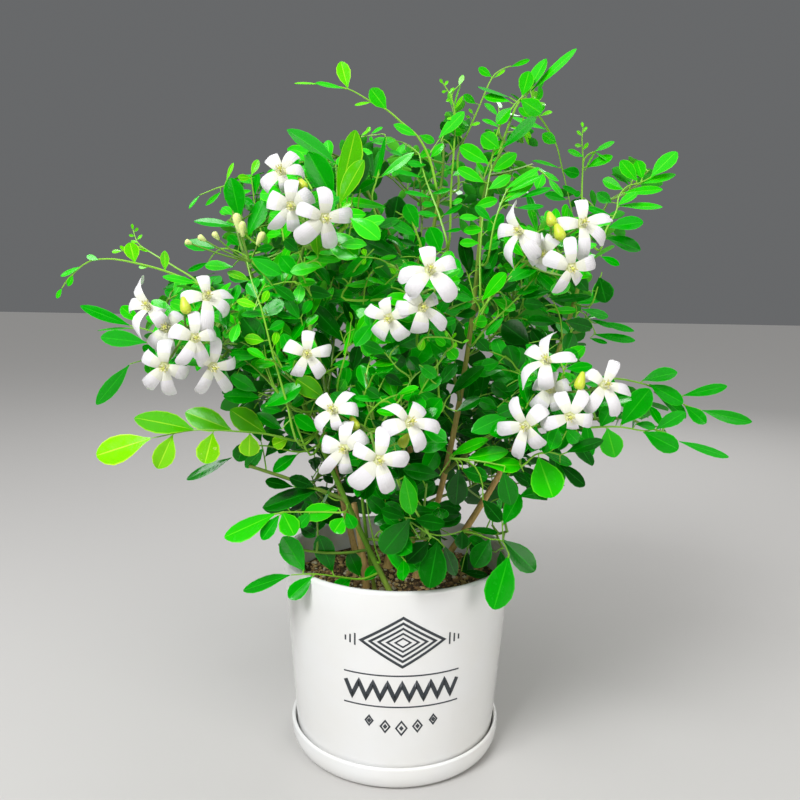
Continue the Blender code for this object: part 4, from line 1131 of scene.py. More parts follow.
# Sprays that show at the front and on the outline: each is a thin green rib that leaves its twig, with
# leaflets on short stalks. A rib has view pixels and depths, and a leaflet has the pixels of its root
# and tip, its seen width in pixels and the number of its tone, from deep green to lime.
SPRAYS = (
    ("low_left", ((300, 441, -50), (267, 434, -54), (232, 431, -57), (195, 430, -59), (152, 438, -61)), (
        (152, 438, 94, 455, 27, 6), (195, 430, 134, 416, 26, 4), (232, 430, 185, 411, 24, 4),
        (267, 434, 230, 410, 24, 4), (173, 434, 158, 469, 22, 6), (213, 432, 205, 463, 25, 6),
        (250, 433, 249, 456, 22, 6), (289, 438, 273, 445, 15, 6),
    )),
    ("low_left", ((300, 452, -44), (268, 446, -46), (246, 447, -48), (233, 457, -50)), (
        (233, 457, 186, 479, 11, 1), (246, 440, 238, 461, 18, 1), (264, 448, 246, 467, 14, 2),
        (298, 454, 273, 471, 14, 2), (300, 440, 286, 420, 14, 2),
    )),
    ("left", (
        (214, 290, -28), (200, 285, -31), (165, 271, -30), (135, 263, -30), (110, 259, -28),
        (88, 262, -26), (70, 277, -26), (62, 288, -26),
    ), (
        (99, 260, 87, 256, 6, 3), (82, 266, 61, 276, 5, 3), (73, 275, 68, 286, 6, 3),
        (62, 288, 57, 298, 4, 3), (135, 263, 130, 243, 16, 5), (165, 271, 165, 251, 9, 5),
        (200, 284, 163, 276, 8, 3), (148, 267, 139, 267, 4, 5),
    )),
    ("left", ((200, 285, -18), (175, 267, -6), (150, 252, 0), (138, 243, 1), (133, 230, 2)), (
        (138, 243, 131, 241, 3, 5), (137, 240, 142, 235, 3, 5), (135, 236, 129, 235, 3, 5),
        (134, 232, 138, 228, 3, 5), (133, 230, 132, 224, 3, 5), (150, 252, 141, 250, 3, 5),
        (146, 249, 125, 251, 2, 5), (126, 251, 120, 246, 4, 5), (122, 251, 112, 252, 4, 5),
    )),
    ("left", ((180, 335, -38), (160, 333, -38), (140, 328, -36)), (
        (131, 326, 80, 305, 12, 2), (133, 328, 98, 330, 3, 3), (148, 343, 101, 338, 17, 2),
        (140, 322, 121, 307, 13, 3), (160, 333, 152, 347, 12, 2),
    )),
    ("left", ((176, 352, -29), (158, 356, -24), (130, 364, -22)), (
        (130, 364, 96, 405, 15, 2), (146, 360, 153, 374, 12, 3), (158, 356, 143, 346, 10, 2),
    )),
    ("upper_left", (
        (262, 250, -31), (247, 236, -33), (240, 220, -36), (227, 190, -34), (221, 187, -32),
        (200, 195, -30),
    ), (
        (240, 220, 231, 178, 21, 2), (247, 237, 264, 200, 16, 2), (222, 191, 206, 205, 5, 3),
        (226, 182, 233, 163, 4, 5), (200, 195, 189, 208, 3, 3), (236, 226, 194, 220, 9, 2),
    )),
    ("upper_left", ((262, 240, -15), (256, 215, -4), (253, 190, -3), (251, 176, -2)), (
        (251, 178, 238, 177, 7, 5), (251, 176, 258, 160, 7, 5), (255, 196, 258, 174, 7, 2),
        (255, 205, 244, 199, 8, 2), (256, 210, 270, 205, 9, 2),
    )),
    ("upper_left", ((262, 272, -40), (248, 258, -40), (234, 250, -40), (216, 248, -38)), (
        (216, 248, 185, 244, 14, 2), (234, 267, 206, 266, 11, 3), (209, 262, 188, 271, 6, 2),
        (247, 256, 274, 272, 20, 2), (250, 281, 228, 271, 10, 5), (258, 306, 237, 299, 9, 5),
        (259, 303, 266, 290, 9, 5), (262, 330, 246, 332, 10, 5), (240, 246, 228, 236, 10, 2),
        (255, 250, 272, 247, 9, 2),
    )),
    ("upper_left", ((338, 232, -36), (338, 212, -36), (337, 195, -36), (336, 164, -34)), (
        (336, 164, 288, 127, 17, 2), (334, 199, 308, 152, 27, 2),
    )),
    ("upper_left", ((339, 232, -46), (339, 215, -48), (339, 203, -50)), (
        (338, 203, 357, 130, 23, 4),
    )),
    ("upper_left", ((341, 232, -54), (341, 218, -58), (341, 207, -60)), (
        (339, 205, 362, 159, 19, 4), (341, 208, 351, 203, 5, 5),
    )),
    ("upper_left", ((348, 225, -40), (351, 210, -40), (352, 198, -40)), (
        (352, 197, 362, 151, 24, 1), (352, 195, 375, 182, 9, 2),
    )),
    ("top_left", (
        (376, 215, -9), (372, 197, -3), (377, 178, 4), (386, 138, 6), (375, 135, 7), (361, 137, 8),
    ), (
        (372, 184, 382, 149, 9, 2), (379, 176, 386, 137, 5, 2), (380, 178, 413, 152, 9, 3),
        (373, 179, 368, 147, 7, 1), (366, 135, 370, 127, 4, 5), (371, 136, 371, 141, 4, 3),
        (361, 136, 369, 131, 3, 5), (371, 134, 382, 127, 4, 3), (386, 150, 402, 155, 5, 2),
        (400, 156, 392, 152, 4, 2),
    )),
    ("top_left", (
        (437, 190, -6), (430, 160, -4), (418, 137, -2), (401, 122, 0), (387, 110, 2), (370, 101, 3),
        (348, 89, 4), (320, 84, 5),
    ), (
        (348, 89, 341, 62, 15, 5), (387, 110, 371, 89, 17, 3), (372, 102, 355, 105, 3, 5),
        (346, 89, 316, 83, 4, 3), (320, 84, 295, 84, 2, 5), (418, 136, 394, 125, 10, 3),
        (419, 135, 434, 142, 9, 3), (430, 158, 443, 144, 9, 3),
    )),
    ("top_left", ((424, 262, -30), (412, 222, -34), (400, 214, -32), (390, 208, -30)), (
        (390, 208, 342, 200, 9, 3), (392, 226, 398, 197, 24, 0), (402, 258, 364, 240, 17, 1),
        (419, 229, 406, 205, 16, 2), (404, 218, 380, 227, 9, 2), (418, 236, 392, 223, 12, 2),
        (441, 253, 430, 228, 20, 2), (419, 257, 401, 252, 11, 1), (418, 246, 401, 241, 7, 1),
    )),
    ("top_left", (
        (447, 248, -12), (440, 218, -9), (432, 196, -5), (426, 180, -3), (421, 163, -2), (418, 153, -1),
        (403, 143, 0),
    ), (
        (424, 178, 394, 171, 5, 2), (427, 165, 408, 163, 6, 2), (433, 198, 405, 192, 5, 2),
        (431, 194, 450, 189, 5, 2), (439, 216, 418, 213, 7, 2), (442, 216, 462, 205, 6, 2),
        (436, 205, 422, 204, 6, 2), (444, 232, 461, 229, 4, 2), (418, 158, 430, 150, 8, 3),
    )),
    ("top_centre", (
        (448, 250, 3), (451, 190, 9), (454, 150, 16), (455, 115, 18), (451, 97, 19), (443, 83, 20),
    ), (
        (438, 139, 464, 112, 12, 3), (456, 121, 465, 129, 6, 3), (443, 84, 440, 79, 3, 5),
        (444, 86, 448, 81, 3, 5), (447, 91, 442, 92, 3, 5), (449, 94, 454, 88, 3, 5),
        (451, 99, 446, 101, 3, 5), (454, 108, 459, 85, 2, 5), (459, 86, 463, 75, 5, 5),
        (454, 110, 463, 96, 4, 5), (455, 118, 447, 119, 3, 5), (452, 176, 463, 170, 5, 3),
        (450, 205, 462, 199, 6, 3),
    )),
    ("top_centre", (
        (458, 190, 17), (458, 156, 22), (470, 128, 27), (480, 105, 30), (492, 78, 30), (503, 69, 30),
        (511, 66, 30),
    ), (
        (492, 77, 479, 68, 8, 3), (510, 67, 529, 60, 5, 3), (476, 104, 464, 95, 8, 3),
        (471, 118, 466, 116, 3, 5), (473, 114, 469, 109, 3, 5), (470, 126, 480, 123, 3, 5),
        (494, 78, 505, 70, 3, 5),
    )),
    ("top_right", (
        (484, 215, -2), (490, 170, -8), (498, 130, -14), (512, 108, -14), (521, 98, -14), (530, 92, -14),
    ), (
        (522, 97, 529, 72, 16, 3), (527, 93, 546, 59, 12, 3), (530, 92, 577, 49, 9, 3),
        (520, 99, 541, 113, 19, 3), (511, 102, 485, 96, 8, 3), (512, 98, 478, 88, 3, 2),
        (512, 107, 497, 123, 13, 3), (500, 149, 482, 135, 19, 3), (501, 149, 537, 116, 12, 2),
    )),
    ("top_right", (
        (500, 150, 13), (521, 99, 20), (538, 115, 27), (549, 131, 32), (557, 147, 32), (562, 168, 32),
        (566, 185, 32), (572, 212, 32),
    ), (
        (548, 130, 511, 118, 6, 3), (557, 144, 543, 134, 12, 3), (560, 168, 533, 161, 4, 3),
        (562, 170, 579, 174, 12, 2), (572, 192, 580, 195, 7, 2), (567, 200, 545, 195, 9, 2),
        (540, 116, 552, 112, 4, 5),
    )),
    ("top_right", ((480, 300, -20), (480, 260, -18), (483, 215, -16), (487, 190, -14), (492, 165, -12)), (
        (490, 164, 460, 147, 15, 3), (485, 183, 458, 169, 12, 3), (492, 171, 516, 154, 14, 3),
        (488, 190, 510, 175, 11, 3), (480, 218, 460, 218, 8, 3), (485, 229, 464, 231, 10, 3),
        (480, 243, 460, 243, 9, 3), (486, 232, 503, 215, 14, 2), (474, 207, 497, 200, 11, 3),
        (482, 250, 500, 240, 10, 2),
    )),
    ("top_right", ((487, 262, -31), (494, 225, -36), (506, 192, -34), (518, 180, -32)), (
        (504, 190, 539, 168, 8, 3), (506, 193, 540, 176, 8, 3), (498, 204, 533, 184, 9, 3),
        (519, 198, 551, 188, 7, 2), (516, 208, 543, 206, 6, 2), (492, 222, 476, 206, 9, 2),
    )),
    ("upper_right", ((584, 235, 9), (582, 195, 20), (583, 160, 26), (582, 140, 27), (583, 128, 28)), (
        (583, 128, 582, 122, 3, 5), (583, 133, 587, 127, 3, 5), (582, 136, 577, 131, 3, 5),
        (582, 146, 575, 145, 4, 5), (583, 150, 588, 143, 4, 5), (584, 157, 568, 151, 6, 3),
        (586, 168, 612, 156, 9, 3), (584, 172, 596, 151, 2, 5), (594, 152, 614, 142, 6, 3),
        (595, 152, 610, 162, 3, 3), (582, 196, 563, 186, 6, 2),
    )),
    ("upper_right", (
        (600, 250, -6), (606, 230, -6), (616, 212, -6), (619, 196, -4), (628, 186, -2), (640, 184, 0),
    ), (
        (650, 178, 676, 151, 16, 3), (638, 182, 621, 161, 14, 3), (643, 179, 637, 161, 14, 3),
        (639, 184, 676, 173, 8, 3), (622, 193, 663, 188, 9, 3), (624, 190, 603, 180, 10, 3),
        (617, 206, 663, 206, 7, 3), (612, 203, 597, 193, 12, 2), (617, 206, 637, 193, 9, 3),
        (606, 228, 643, 221, 13, 2), (604, 237, 641, 249, 12, 1), (600, 256, 619, 265, 7, 2),
        (612, 216, 584, 207, 7, 2),
    )),
    ("right_middle", ((560, 352, 0), (572, 330, 10), (578, 312, 16), (588, 318, 18), (596, 334, 20)), (
        (581, 309, 608, 316, 8, 2), (589, 319, 613, 327, 5, 2), (600, 322, 634, 331, 7, 2),
        (592, 334, 635, 341, 8, 2), (564, 320, 592, 328, 15, 1), (589, 338, 607, 343, 5, 2),
        (574, 304, 604, 297, 8, 2), (572, 335, 556, 322, 11, 2),
    )),
    ("right", (
        (575, 428, -27), (600, 427, -25), (620, 427, -24), (644, 431, -20), (656, 430, -18),
        (678, 441, -16),
    ), (
        (607, 427, 615, 457, 24, 3), (620, 426, 650, 389, 24, 2), (634, 424, 655, 427, 8, 2),
        (655, 430, 685, 412, 14, 2), (642, 431, 678, 449, 20, 2), (678, 441, 729, 457, 10, 2),
        (600, 428, 613, 404, 18, 2),
    )),
    ("right", (
        (590, 392, -3), (610, 379, -5), (640, 383, 6), (658, 390, 10), (683, 404, 12), (701, 410, 14),
    ), (
        (641, 381, 677, 371, 15, 2), (648, 384, 684, 402, 17, 2), (653, 391, 687, 417, 13, 2),
        (681, 396, 727, 386, 11, 2), (701, 410, 753, 423, 13, 2), (684, 405, 706, 423, 14, 2),
    )),
    ("right_front", ((520, 464, -74), (535, 455, -78), (548, 452, -80), (560, 455, -80)), (
        (538, 456, 553, 497, 34, 3), (541, 452, 572, 463, 10, 2), (558, 463, 585, 485, 13, 0),
        (565, 453, 603, 440, 13, 1), (566, 430, 578, 442, 15, 2), (522, 470, 547, 498, 13, 1),
    )),
    ("right_front", ((452, 455, -66), (464, 459, -70), (485, 462, -74), (505, 466, -76)), (
        (450, 456, 488, 439, 13, 3), (466, 459, 508, 450, 18, 3), (482, 465, 521, 464, 14, 3),
        (459, 468, 456, 505, 22, 0), (461, 469, 487, 478, 17, 1), (503, 470, 511, 505, 21, 1),
        (482, 499, 501, 521, 17, 0), (441, 476, 404, 469, 18, 1), (447, 452, 434, 441, 9, 2),
    )),
    ("low_front", ((398, 480, -84), (404, 498, -82), (411, 518, -80)), (
        (404, 474, 412, 514, 19, 3), (411, 518, 383, 553, 28, 1), (406, 518, 382, 510, 14, 1),
        (413, 519, 444, 524, 18, 1),
    )),
    ("low_front", ((410, 522, -74), (428, 534, -70), (438, 540, -68)), (
        (438, 540, 429, 588, 29, 1), (444, 545, 455, 575, 16, 0), (430, 540, 407, 562, 21, 0),
        (462, 530, 462, 549, 16, 0),
    )),
    ("low_right_rim", (
        (462, 531, -46), (476, 534, -50), (490, 539, -54), (502, 541, -58), (509, 554, -64),
    ), (
        (509, 555, 494, 610, 30, 2), (502, 539, 536, 571, 21, 1), (491, 538, 474, 567, 22, 1),
        (466, 528, 497, 533, 7, 1), (460, 571, 487, 576, 9, 0),
    )),
    ("low_left_rim", ((362, 579, -40), (340, 577, -44), (315, 574, -50), (291, 575, -54)), (
        (291, 575, 243, 590, 16, 2), (314, 575, 289, 598, 17, 2), (352, 577, 333, 592, 16, 2),
        (305, 572, 283, 537, 23, 2), (333, 573, 319, 536, 21, 1), (360, 577, 349, 552, 17, 1),
        (364, 581, 376, 567, 13, 2),
    )),
    ("low_left_rim", ((345, 512, -62), (325, 512, -62), (305, 512, -62), (284, 512, -62)), (
        (277, 513, 225, 538, 18, 3), (280, 514, 262, 539, 15, 2), (282, 511, 294, 535, 23, 3),
        (310, 513, 298, 527, 13, 2), (341, 508, 304, 515, 19, 3), (344, 517, 334, 532, 19, 3),
        (346, 512, 354, 528, 14, 2),
    )),
    ("low_left_rim", ((335, 500, -40), (322, 492, -42), (310, 487, -44)), (
        (320, 489, 263, 508, 20, 1), (294, 487, 266, 481, 11, 0), (316, 487, 290, 478, 14, 0),
    )),
    ("inner_left_front", ((300, 405, -60), (285, 400, -60), (266, 395, -60), (258, 392, -60)), (
        (258, 392, 232, 376, 16, 2), (283, 411, 261, 407, 13, 2), (262, 398, 224, 396, 16, 2),
        (290, 402, 281, 386, 14, 2),
    )),
    ("inner_left_front", (
        (300, 445, -66), (286, 400, -72), (272, 351, -74), (262, 311, -74), (252, 282, -70),
        (247, 262, -64),
    ), (
        (265, 341, 245, 338, 12, 5), (274, 346, 277, 332, 8, 5), (258, 307, 237, 300, 9, 5),
        (262, 304, 268, 291, 8, 5), (268, 330, 284, 322, 10, 2),
    )),
    ("inner_left_front", ((310, 455, -58), (290, 410, -62), (264, 377, -64), (241, 357, -64)), (
        (262, 375, 240, 366, 8, 2), (280, 396, 270, 404, 8, 2), (290, 408, 303, 398, 10, 2),
    )),
    ("centre_front", (
        (417, 345, -90), (424, 338, -92), (434, 337, -92), (447, 338, -92), (462, 343, -92),
    ), (
        (424, 338, 420, 350, 8, 5), (434, 337, 445, 345, 9, 3), (447, 338, 446, 331, 3, 5),
        (452, 339, 456, 333, 3, 5), (456, 341, 455, 348, 4, 5), (462, 343, 469, 340, 3, 5),
    )),
    ("upper_left_front", ((312, 300, -60), (306, 284, -64), (302, 268, -68), (318, 258, -70)), (
        (318, 257, 316, 234, 14, 4), (299, 252, 285, 240, 13, 1), (298, 277, 281, 257, 18, 2),
        (302, 257, 340, 260, 8, 3), (323, 266, 291, 271, 12, 3), (272, 284, 294, 300, 12, 1),
        (334, 296, 306, 290, 14, 1), (318, 282, 300, 284, 6, 3),
    )),
    ("upper_left_front", ((282, 300, -60), (270, 282, -62), (252, 262, -62)), (
        (250, 257, 281, 275, 16, 2), (253, 264, 273, 273, 8, 3), (262, 289, 283, 283, 7, 2),
    )),
    ("centre_front", ((346, 300, -58), (350, 282, -60), (356, 268, -62), (374, 249, -64)), (
        (341, 279, 372, 256, 16, 2), (343, 286, 376, 282, 8, 3), (366, 256, 363, 249, 6, 5),
    )),
    ("centre_front", ((408, 276, -64), (398, 270, -64), (379, 259, -64), (360, 257, -64)), (
        (366, 258, 362, 264, 5, 5), (391, 266, 395, 274, 6, 5), (393, 280, 374, 262, 15, 1),
        (386, 285, 366, 279, 6, 3), (378, 259, 396, 256, 5, 3), (362, 305, 386, 294, 7, 2),
    )),
    ("inner_left_front", ((306, 352, -60), (304, 332, -62), (301, 318, -64)), (
        (300, 320, 287, 298, 13, 2), (302, 315, 311, 301, 10, 2), (300, 319, 275, 313, 9, 2),
        (287, 346, 305, 322, 9, 2), (300, 330, 318, 316, 8, 3),
    )),
    ("inner_left_front", ((348, 360, -50), (346, 348, -52), (340, 330, -54)), (
        (345, 342, 312, 304, 19, 1), (338, 379, 317, 332, 15, 1), (355, 330, 345, 302, 10, 0),
        (352, 372, 358, 346, 14, 0),
    )),
    ("inner_left_front", (
        (336, 400, -66), (338, 382, -68), (344, 360, -70), (349, 340, -72), (351, 322, -72),
    ), (
        (343, 356, 351, 333, 5, 3), (337, 394, 345, 380, 12, 3), (352, 322, 350, 312, 3, 5),
    )),
    ("inner_left_front", ((300, 412, -66), (286, 404, -68), (270, 405, -70)), (
        (263, 408, 300, 385, 16, 2), (327, 400, 297, 379, 21, 4), (318, 432, 295, 416, 16, 2),
        (283, 430, 257, 414, 13, 1), (265, 346, 243, 318, 26, 1), (262, 352, 268, 322, 18, 1),
    )),
    ("low_centre_front", (
        (365, 434, -86), (367, 418, -88), (377, 405, -90), (388, 398, -90), (400, 394, -90),
    ), (
        (396, 395, 418, 387, 8, 3), (398, 414, 377, 411, 9, 3), (385, 400, 355, 398, 7, 2),
        (381, 398, 367, 389, 13, 1), (371, 419, 386, 429, 10, 0), (378, 438, 365, 431, 10, 3),
        (368, 405, 355, 405, 5, 2),
    )),
    ("low_centre_front", ((410, 384, -74), (397, 368, -78), (386, 354, -80)), (
        (386, 353, 363, 344, 14, 2), (398, 346, 419, 336, 20, 1), (398, 362, 374, 356, 7, 1),
        (421, 372, 408, 358, 16, 1), (404, 386, 386, 376, 12, 0),
    )),
    ("centre_front", (
        (452, 340, -88), (446, 352, -86), (437, 366, -84), (427, 381, -82), (420, 393, -80),
    ), (
        (446, 347, 457, 358, 14, 3), (418, 364, 436, 377, 14, 2), (438, 386, 456, 364, 13, 1),
        (421, 393, 441, 378, 11, 2),
    )),
    ("centre_front", ((440, 408, -70), (446, 400, -72), (450, 395, -74)), (
        (449, 396, 483, 366, 14, 1), (456, 412, 480, 398, 12, 1),
    )),
    ("upper_right_front", ((474, 330, -36), (480, 312, -40), (498, 290, -44), (512, 276, -46)), (
        (481, 302, 505, 273, 13, 3), (503, 284, 541, 262, 15, 2), (472, 322, 487, 321, 14, 3),
        (474, 300, 455, 296, 8, 2),
    )),
    ("upper_right_front", (
        (472, 346, -32), (486, 328, -34), (503, 312, -36), (520, 295, -38), (545, 265, -40),
    ), (
        (515, 295, 538, 287, 9, 2), (517, 299, 549, 291, 7, 1), (492, 299, 515, 309, 11, 3),
        (500, 292, 516, 282, 13, 1), (528, 284, 537, 272, 7, 3), (490, 317, 509, 311, 8, 3),
        (505, 316, 486, 334, 10, 2),
    )),
    ("upper_right_front", ((476, 300, -17), (470, 282, -14), (464, 264, -16)), (
        (470, 276, 462, 237, 16, 0), (480, 286, 498, 250, 12, 1), (458, 265, 441, 262, 10, 3),
        (448, 310, 472, 305, 8, 2), (455, 316, 475, 312, 10, 1), (476, 270, 500, 262, 8, 1),
    )),
    ("right_middle", ((562, 340, -16), (560, 318, -18), (554, 302, -18)), (
        (546, 306, 524, 303, 14, 1), (549, 300, 591, 297, 8, 1), (545, 311, 576, 310, 8, 3),
        (558, 323, 528, 321, 13, 1), (530, 344, 503, 324, 26, 0), (548, 352, 532, 330, 14, 0),
    )),
    ("right_middle", ((590, 306, -7), (598, 286, -4), (602, 272, -4)), (
        (599, 276, 606, 302, 22, 1), (589, 292, 577, 278, 14, 1),
    )),
    ("right_front", ((520, 372, -60), (512, 362, -62), (505, 356, -64)), (
        (516, 372, 508, 346, 22, 1), (500, 362, 482, 366, 14, 2), (512, 398, 492, 384, 16, 1),
        (498, 408, 478, 400, 14, 2), (490, 352, 478, 340, 14, 1), (500, 392, 518, 382, 12, 1),
    )),
    ("low_left_rim", (
        (380, 562, -45), (376, 550, -48), (373, 537, -54), (369, 518, -62), (366, 497, -68),
    ), (
        (365, 494, 384, 512, 17, 1),
    )),
)
TONES = (
    ("deep", "004800", "046602", "105E0C"),
    ("dark", "006C00", "088A02", "1A8012"),
    ("mid", "009E00", "1EB606", "30A820"),
    ("bright", "22C200", "52D80E", "56C628"),
    ("olive", "4AAE00", "86C818", "7CBE30"),
    ("fresh", "5AD200", "98E820", "90DA38"),
    ("lime", "7CD800", "B4F02C", "A8E248"),
)
WIDTH_SHARES = (0.0, 0.08, 0.2, 0.36, 0.54, 0.72, 0.87, 0.96, 1.0)
OBOVATE_WIDTHS = (0.07, 0.17, 0.42, 0.75, 0.96, 1.0, 0.77, 0.42, 0.12)
POINTED_WIDTHS = (0.07, 0.22, 0.55, 0.88, 1.0, 0.86, 0.52, 0.22, 0.05)
LARGE_LEAF = (WIDTH_SHARES, (-1.0, -0.91, -0.5, -0.05, 0.05, 0.5, 0.91, 1.0))
SMALL_LEAF = ((0.0, 0.12, 0.34, 0.6, 0.82, 0.95, 1.0), (-1.0, -0.88, -0.06, 0.06, 0.88, 1.0))
SMALL_UNDER = 17.0
LEAF_THICK = 0.35
VEIN_SPACING = 2.2
VEIN_SLANT = 0.8
RIB_POINTS = 4
RIB_FOOT = 0.8
RIB_TIP = 0.3
LONG_STALK = 4.5
SEEN_STEMS = (
    ("stem_left", 100.0, 215.0),
    ("stem_centre", 150.0, 262.0),
    ("stem_right", 100.0, 168.0),
    ("stem_slender", 100.0, 150.0),
)
TRACED_RATIO = 0.5
SLIM_RATIO = 0.24
TRACED_CURL = 0.07
MOST_CURL = 0.18
OBSTACLE_MARGIN = 1.0
HASH_CELL = 26.0


def leaf_template(shares, spread):
    """Faces and slots of a leaf: blade, then margin and midrib, then underside."""
    faces = blade_faces(len(shares), len(spread))
    columns = len(spread) - 1
    slots = np.full(len(faces[1]), 2)
    row = [1 if j in (0, columns // 2, columns - 1) else 0 for j in range(columns)]
    slots[: (len(shares) - 1) * columns] = row * (len(shares) - 1)
    slots[-2:] = 1
    return faces, slots, np.array(shares)[:, None], np.array(spread)[None, :]


def limb_obstacles():
    """The limbs, the pot's wall and the soil, a little oversize, for leaves to stay off."""
    sides = 24
    profile = (
        (0.0, SOIL_TOP + OBSTACLE_MARGIN),
        (pot_radius(SOIL_TOP) - POT_WALL - OBSTACLE_MARGIN, SOIL_TOP + OBSTACLE_MARGIN),
        (POT_RIM - POT_WALL - OBSTACLE_MARGIN, POT_TOP + OBSTACLE_MARGIN),
        (POT_RIM + OBSTACLE_MARGIN, POT_TOP + OBSTACLE_MARGIN),
        (pot_radius(60.0) + OBSTACLE_MARGIN, 60.0),
    )
    turns = [2.0 * math.pi * i / sides for i in range(sides)]
    corners = [Vector((r * math.cos(turn), r * math.sin(turn), z)) for r, z in profile for turn in turns]
    rows = wall_rows(len(profile), sides)
    for points, radii in limbs.values():
        step = max(1, len(points) // 12)
        kept = points[::step] + [points[-1]]
        wide = [radius + OBSTACLE_MARGIN / 2.0 for radius in radii[::step] + [radii[-1]]]
        rows += wall_rows(len(kept), 5, len(corners))
        corners += tube_points(kept, wide, 5)
    return BVHTree.FromPolygons(corners, rows)


def leaf_proxy(root, direction, side, length, width):
    """A kite that stands for a leaf when leaves are kept apart."""
    widest = root + direction * (length * 0.6)
    half = side * (width / 2.0)
    corners = [root, widest + half, widest - half, root + direction * length]
    return BVHTree.FromPolygons(corners, [(0, 1, 2), (1, 3, 2)])


def note_leaf(middle, reach, proxy):
    """Keeps a leaf in mind by the cell of space that it lies in."""
    cell = tuple(int(c // HASH_CELL) for c in middle)
    near_leaves.setdefault(cell, []).append((middle, reach, proxy))


def touches_leaf(middle, reach, proxy):
    """True where a leaf would cross one that is already there."""
    spans = [range(int(c // HASH_CELL) - 1, int(c // HASH_CELL) + 2) for c in middle]
    for cell in itertools.product(*spans):
        for there, its_reach, other in near_leaves.get(cell, ()):
            if (there - middle).length < reach + its_reach and proxy.overlap(other):
                return True
    return False


templates = (leaf_template(*SMALL_LEAF), leaf_template(*LARGE_LEAF))
leaf_heaps = [Heap() for _ in TONES]
leaf_masses = [set() for _ in TONES]
near_leaves = {}
obstacles = limb_obstacles()
limb_of = {mass: limb for mass, limb, *_ in MASSES}


def leaf(root, direction, side, face, length, width, tone, mass, draw, most_curl=MOST_CURL):
    """One leaflet: a closed blade folded along its midrib and arched along its length."""
    faces, slots, t, s = templates[1 if length > SMALL_UNDER else 0]
    roundness = draw.uniform(0.35, 1.0)
    fold = draw.uniform(0.05, 0.4)
    curl = draw.uniform(-0.03, most_curl)
    ripple = draw.uniform(0.0, 0.17) * most_curl * width
    phase = draw.uniform(0.0, 6.28)
    twist = draw.uniform(-0.25, 0.25)
    keys = np.array(OBOVATE_WIDTHS) * roundness + np.array(POINTED_WIDTHS) * (1.0 - roundness)
    half = np.interp(t, WIDTH_SHARES, keys) * width / 2.0
    y = s * half
    z = fold * np.abs(y) - 0.03 * y * y - curl * length * t**1.7
    z = z + ripple * np.sin(7.0 * t + phase) * s**2 * np.sign(s)
    turn = twist * t
    y, z = y * np.cos(turn) - z * np.sin(turn), z * np.cos(turn) + y * np.sin(turn)
    x = length * t * np.ones_like(y)
    axes = np.array((direction, side, face))
    top = np.stack([x, y, z], axis=-1).reshape(-1, 3)
    centre = s.shape[1] // 2
    spine = np.stack([x[:, 0], (y[:, centre - 1] + y[:, centre]) / 2.0, z[:, centre] - LEAF_THICK], axis=-1)
    points = np.concatenate([top, spine]) @ axes + np.array(root)
    lines = np.zeros((len(points), 2))
    lines[: len(top), 0] = (x - VEIN_SLANT * np.abs(s * half)).reshape(-1) / VEIN_SPACING
    leaf_heaps[tone].add(points, faces, slots, lines)
    leaf_masses[tone].add(mass)


def leaf_stalk(root, stand, direction, length):
    """The short stalk of a leaflet, from its rib to just inside its blade."""
    radius = 0.2 + length * 0.009
    add_tube(stalks, [root, stand + direction * (length * 0.03)], [radius, radius * 0.8], 4)


def smooth_path(points, count):
    """A Catmull-Rom curve through points, with a number of steps between each two."""
    ends = [points[0] * 2.0 - points[1]] + list(points) + [points[-1] * 2.0 - points[-2]]
    path = []
    for a, b, c, d in zip(ends, ends[1:], ends[2:], ends[3:]):
        for k in range(count):
            t = k / count
            bow = (a * -1.0 + b * 3.0 - c * 3.0 + d) * (t * t * t)
            path.append((b * 2.0 + (c - a) * t + (a * 2.0 - b * 5.0 + c * 4.0 - d) * (t * t) + bow) * 0.5)
    return path + [points[-1]]


def nearest_carrier(mass, point):
    """The nearest point on the twig, bough or stem that carries a mass."""
    own = mass_stems[mass][0]
    paths = [own, limbs[limb_of[mass]][0]]
    if mass in boughs:
        paths.append(limbs["bough_" + mass][0])
    found = min((p for path in paths for p in path), key=lambda p: (p - point).length)
    if found in own:
        last_used[mass] = max(last_used[mass], own.index(found))
    return found


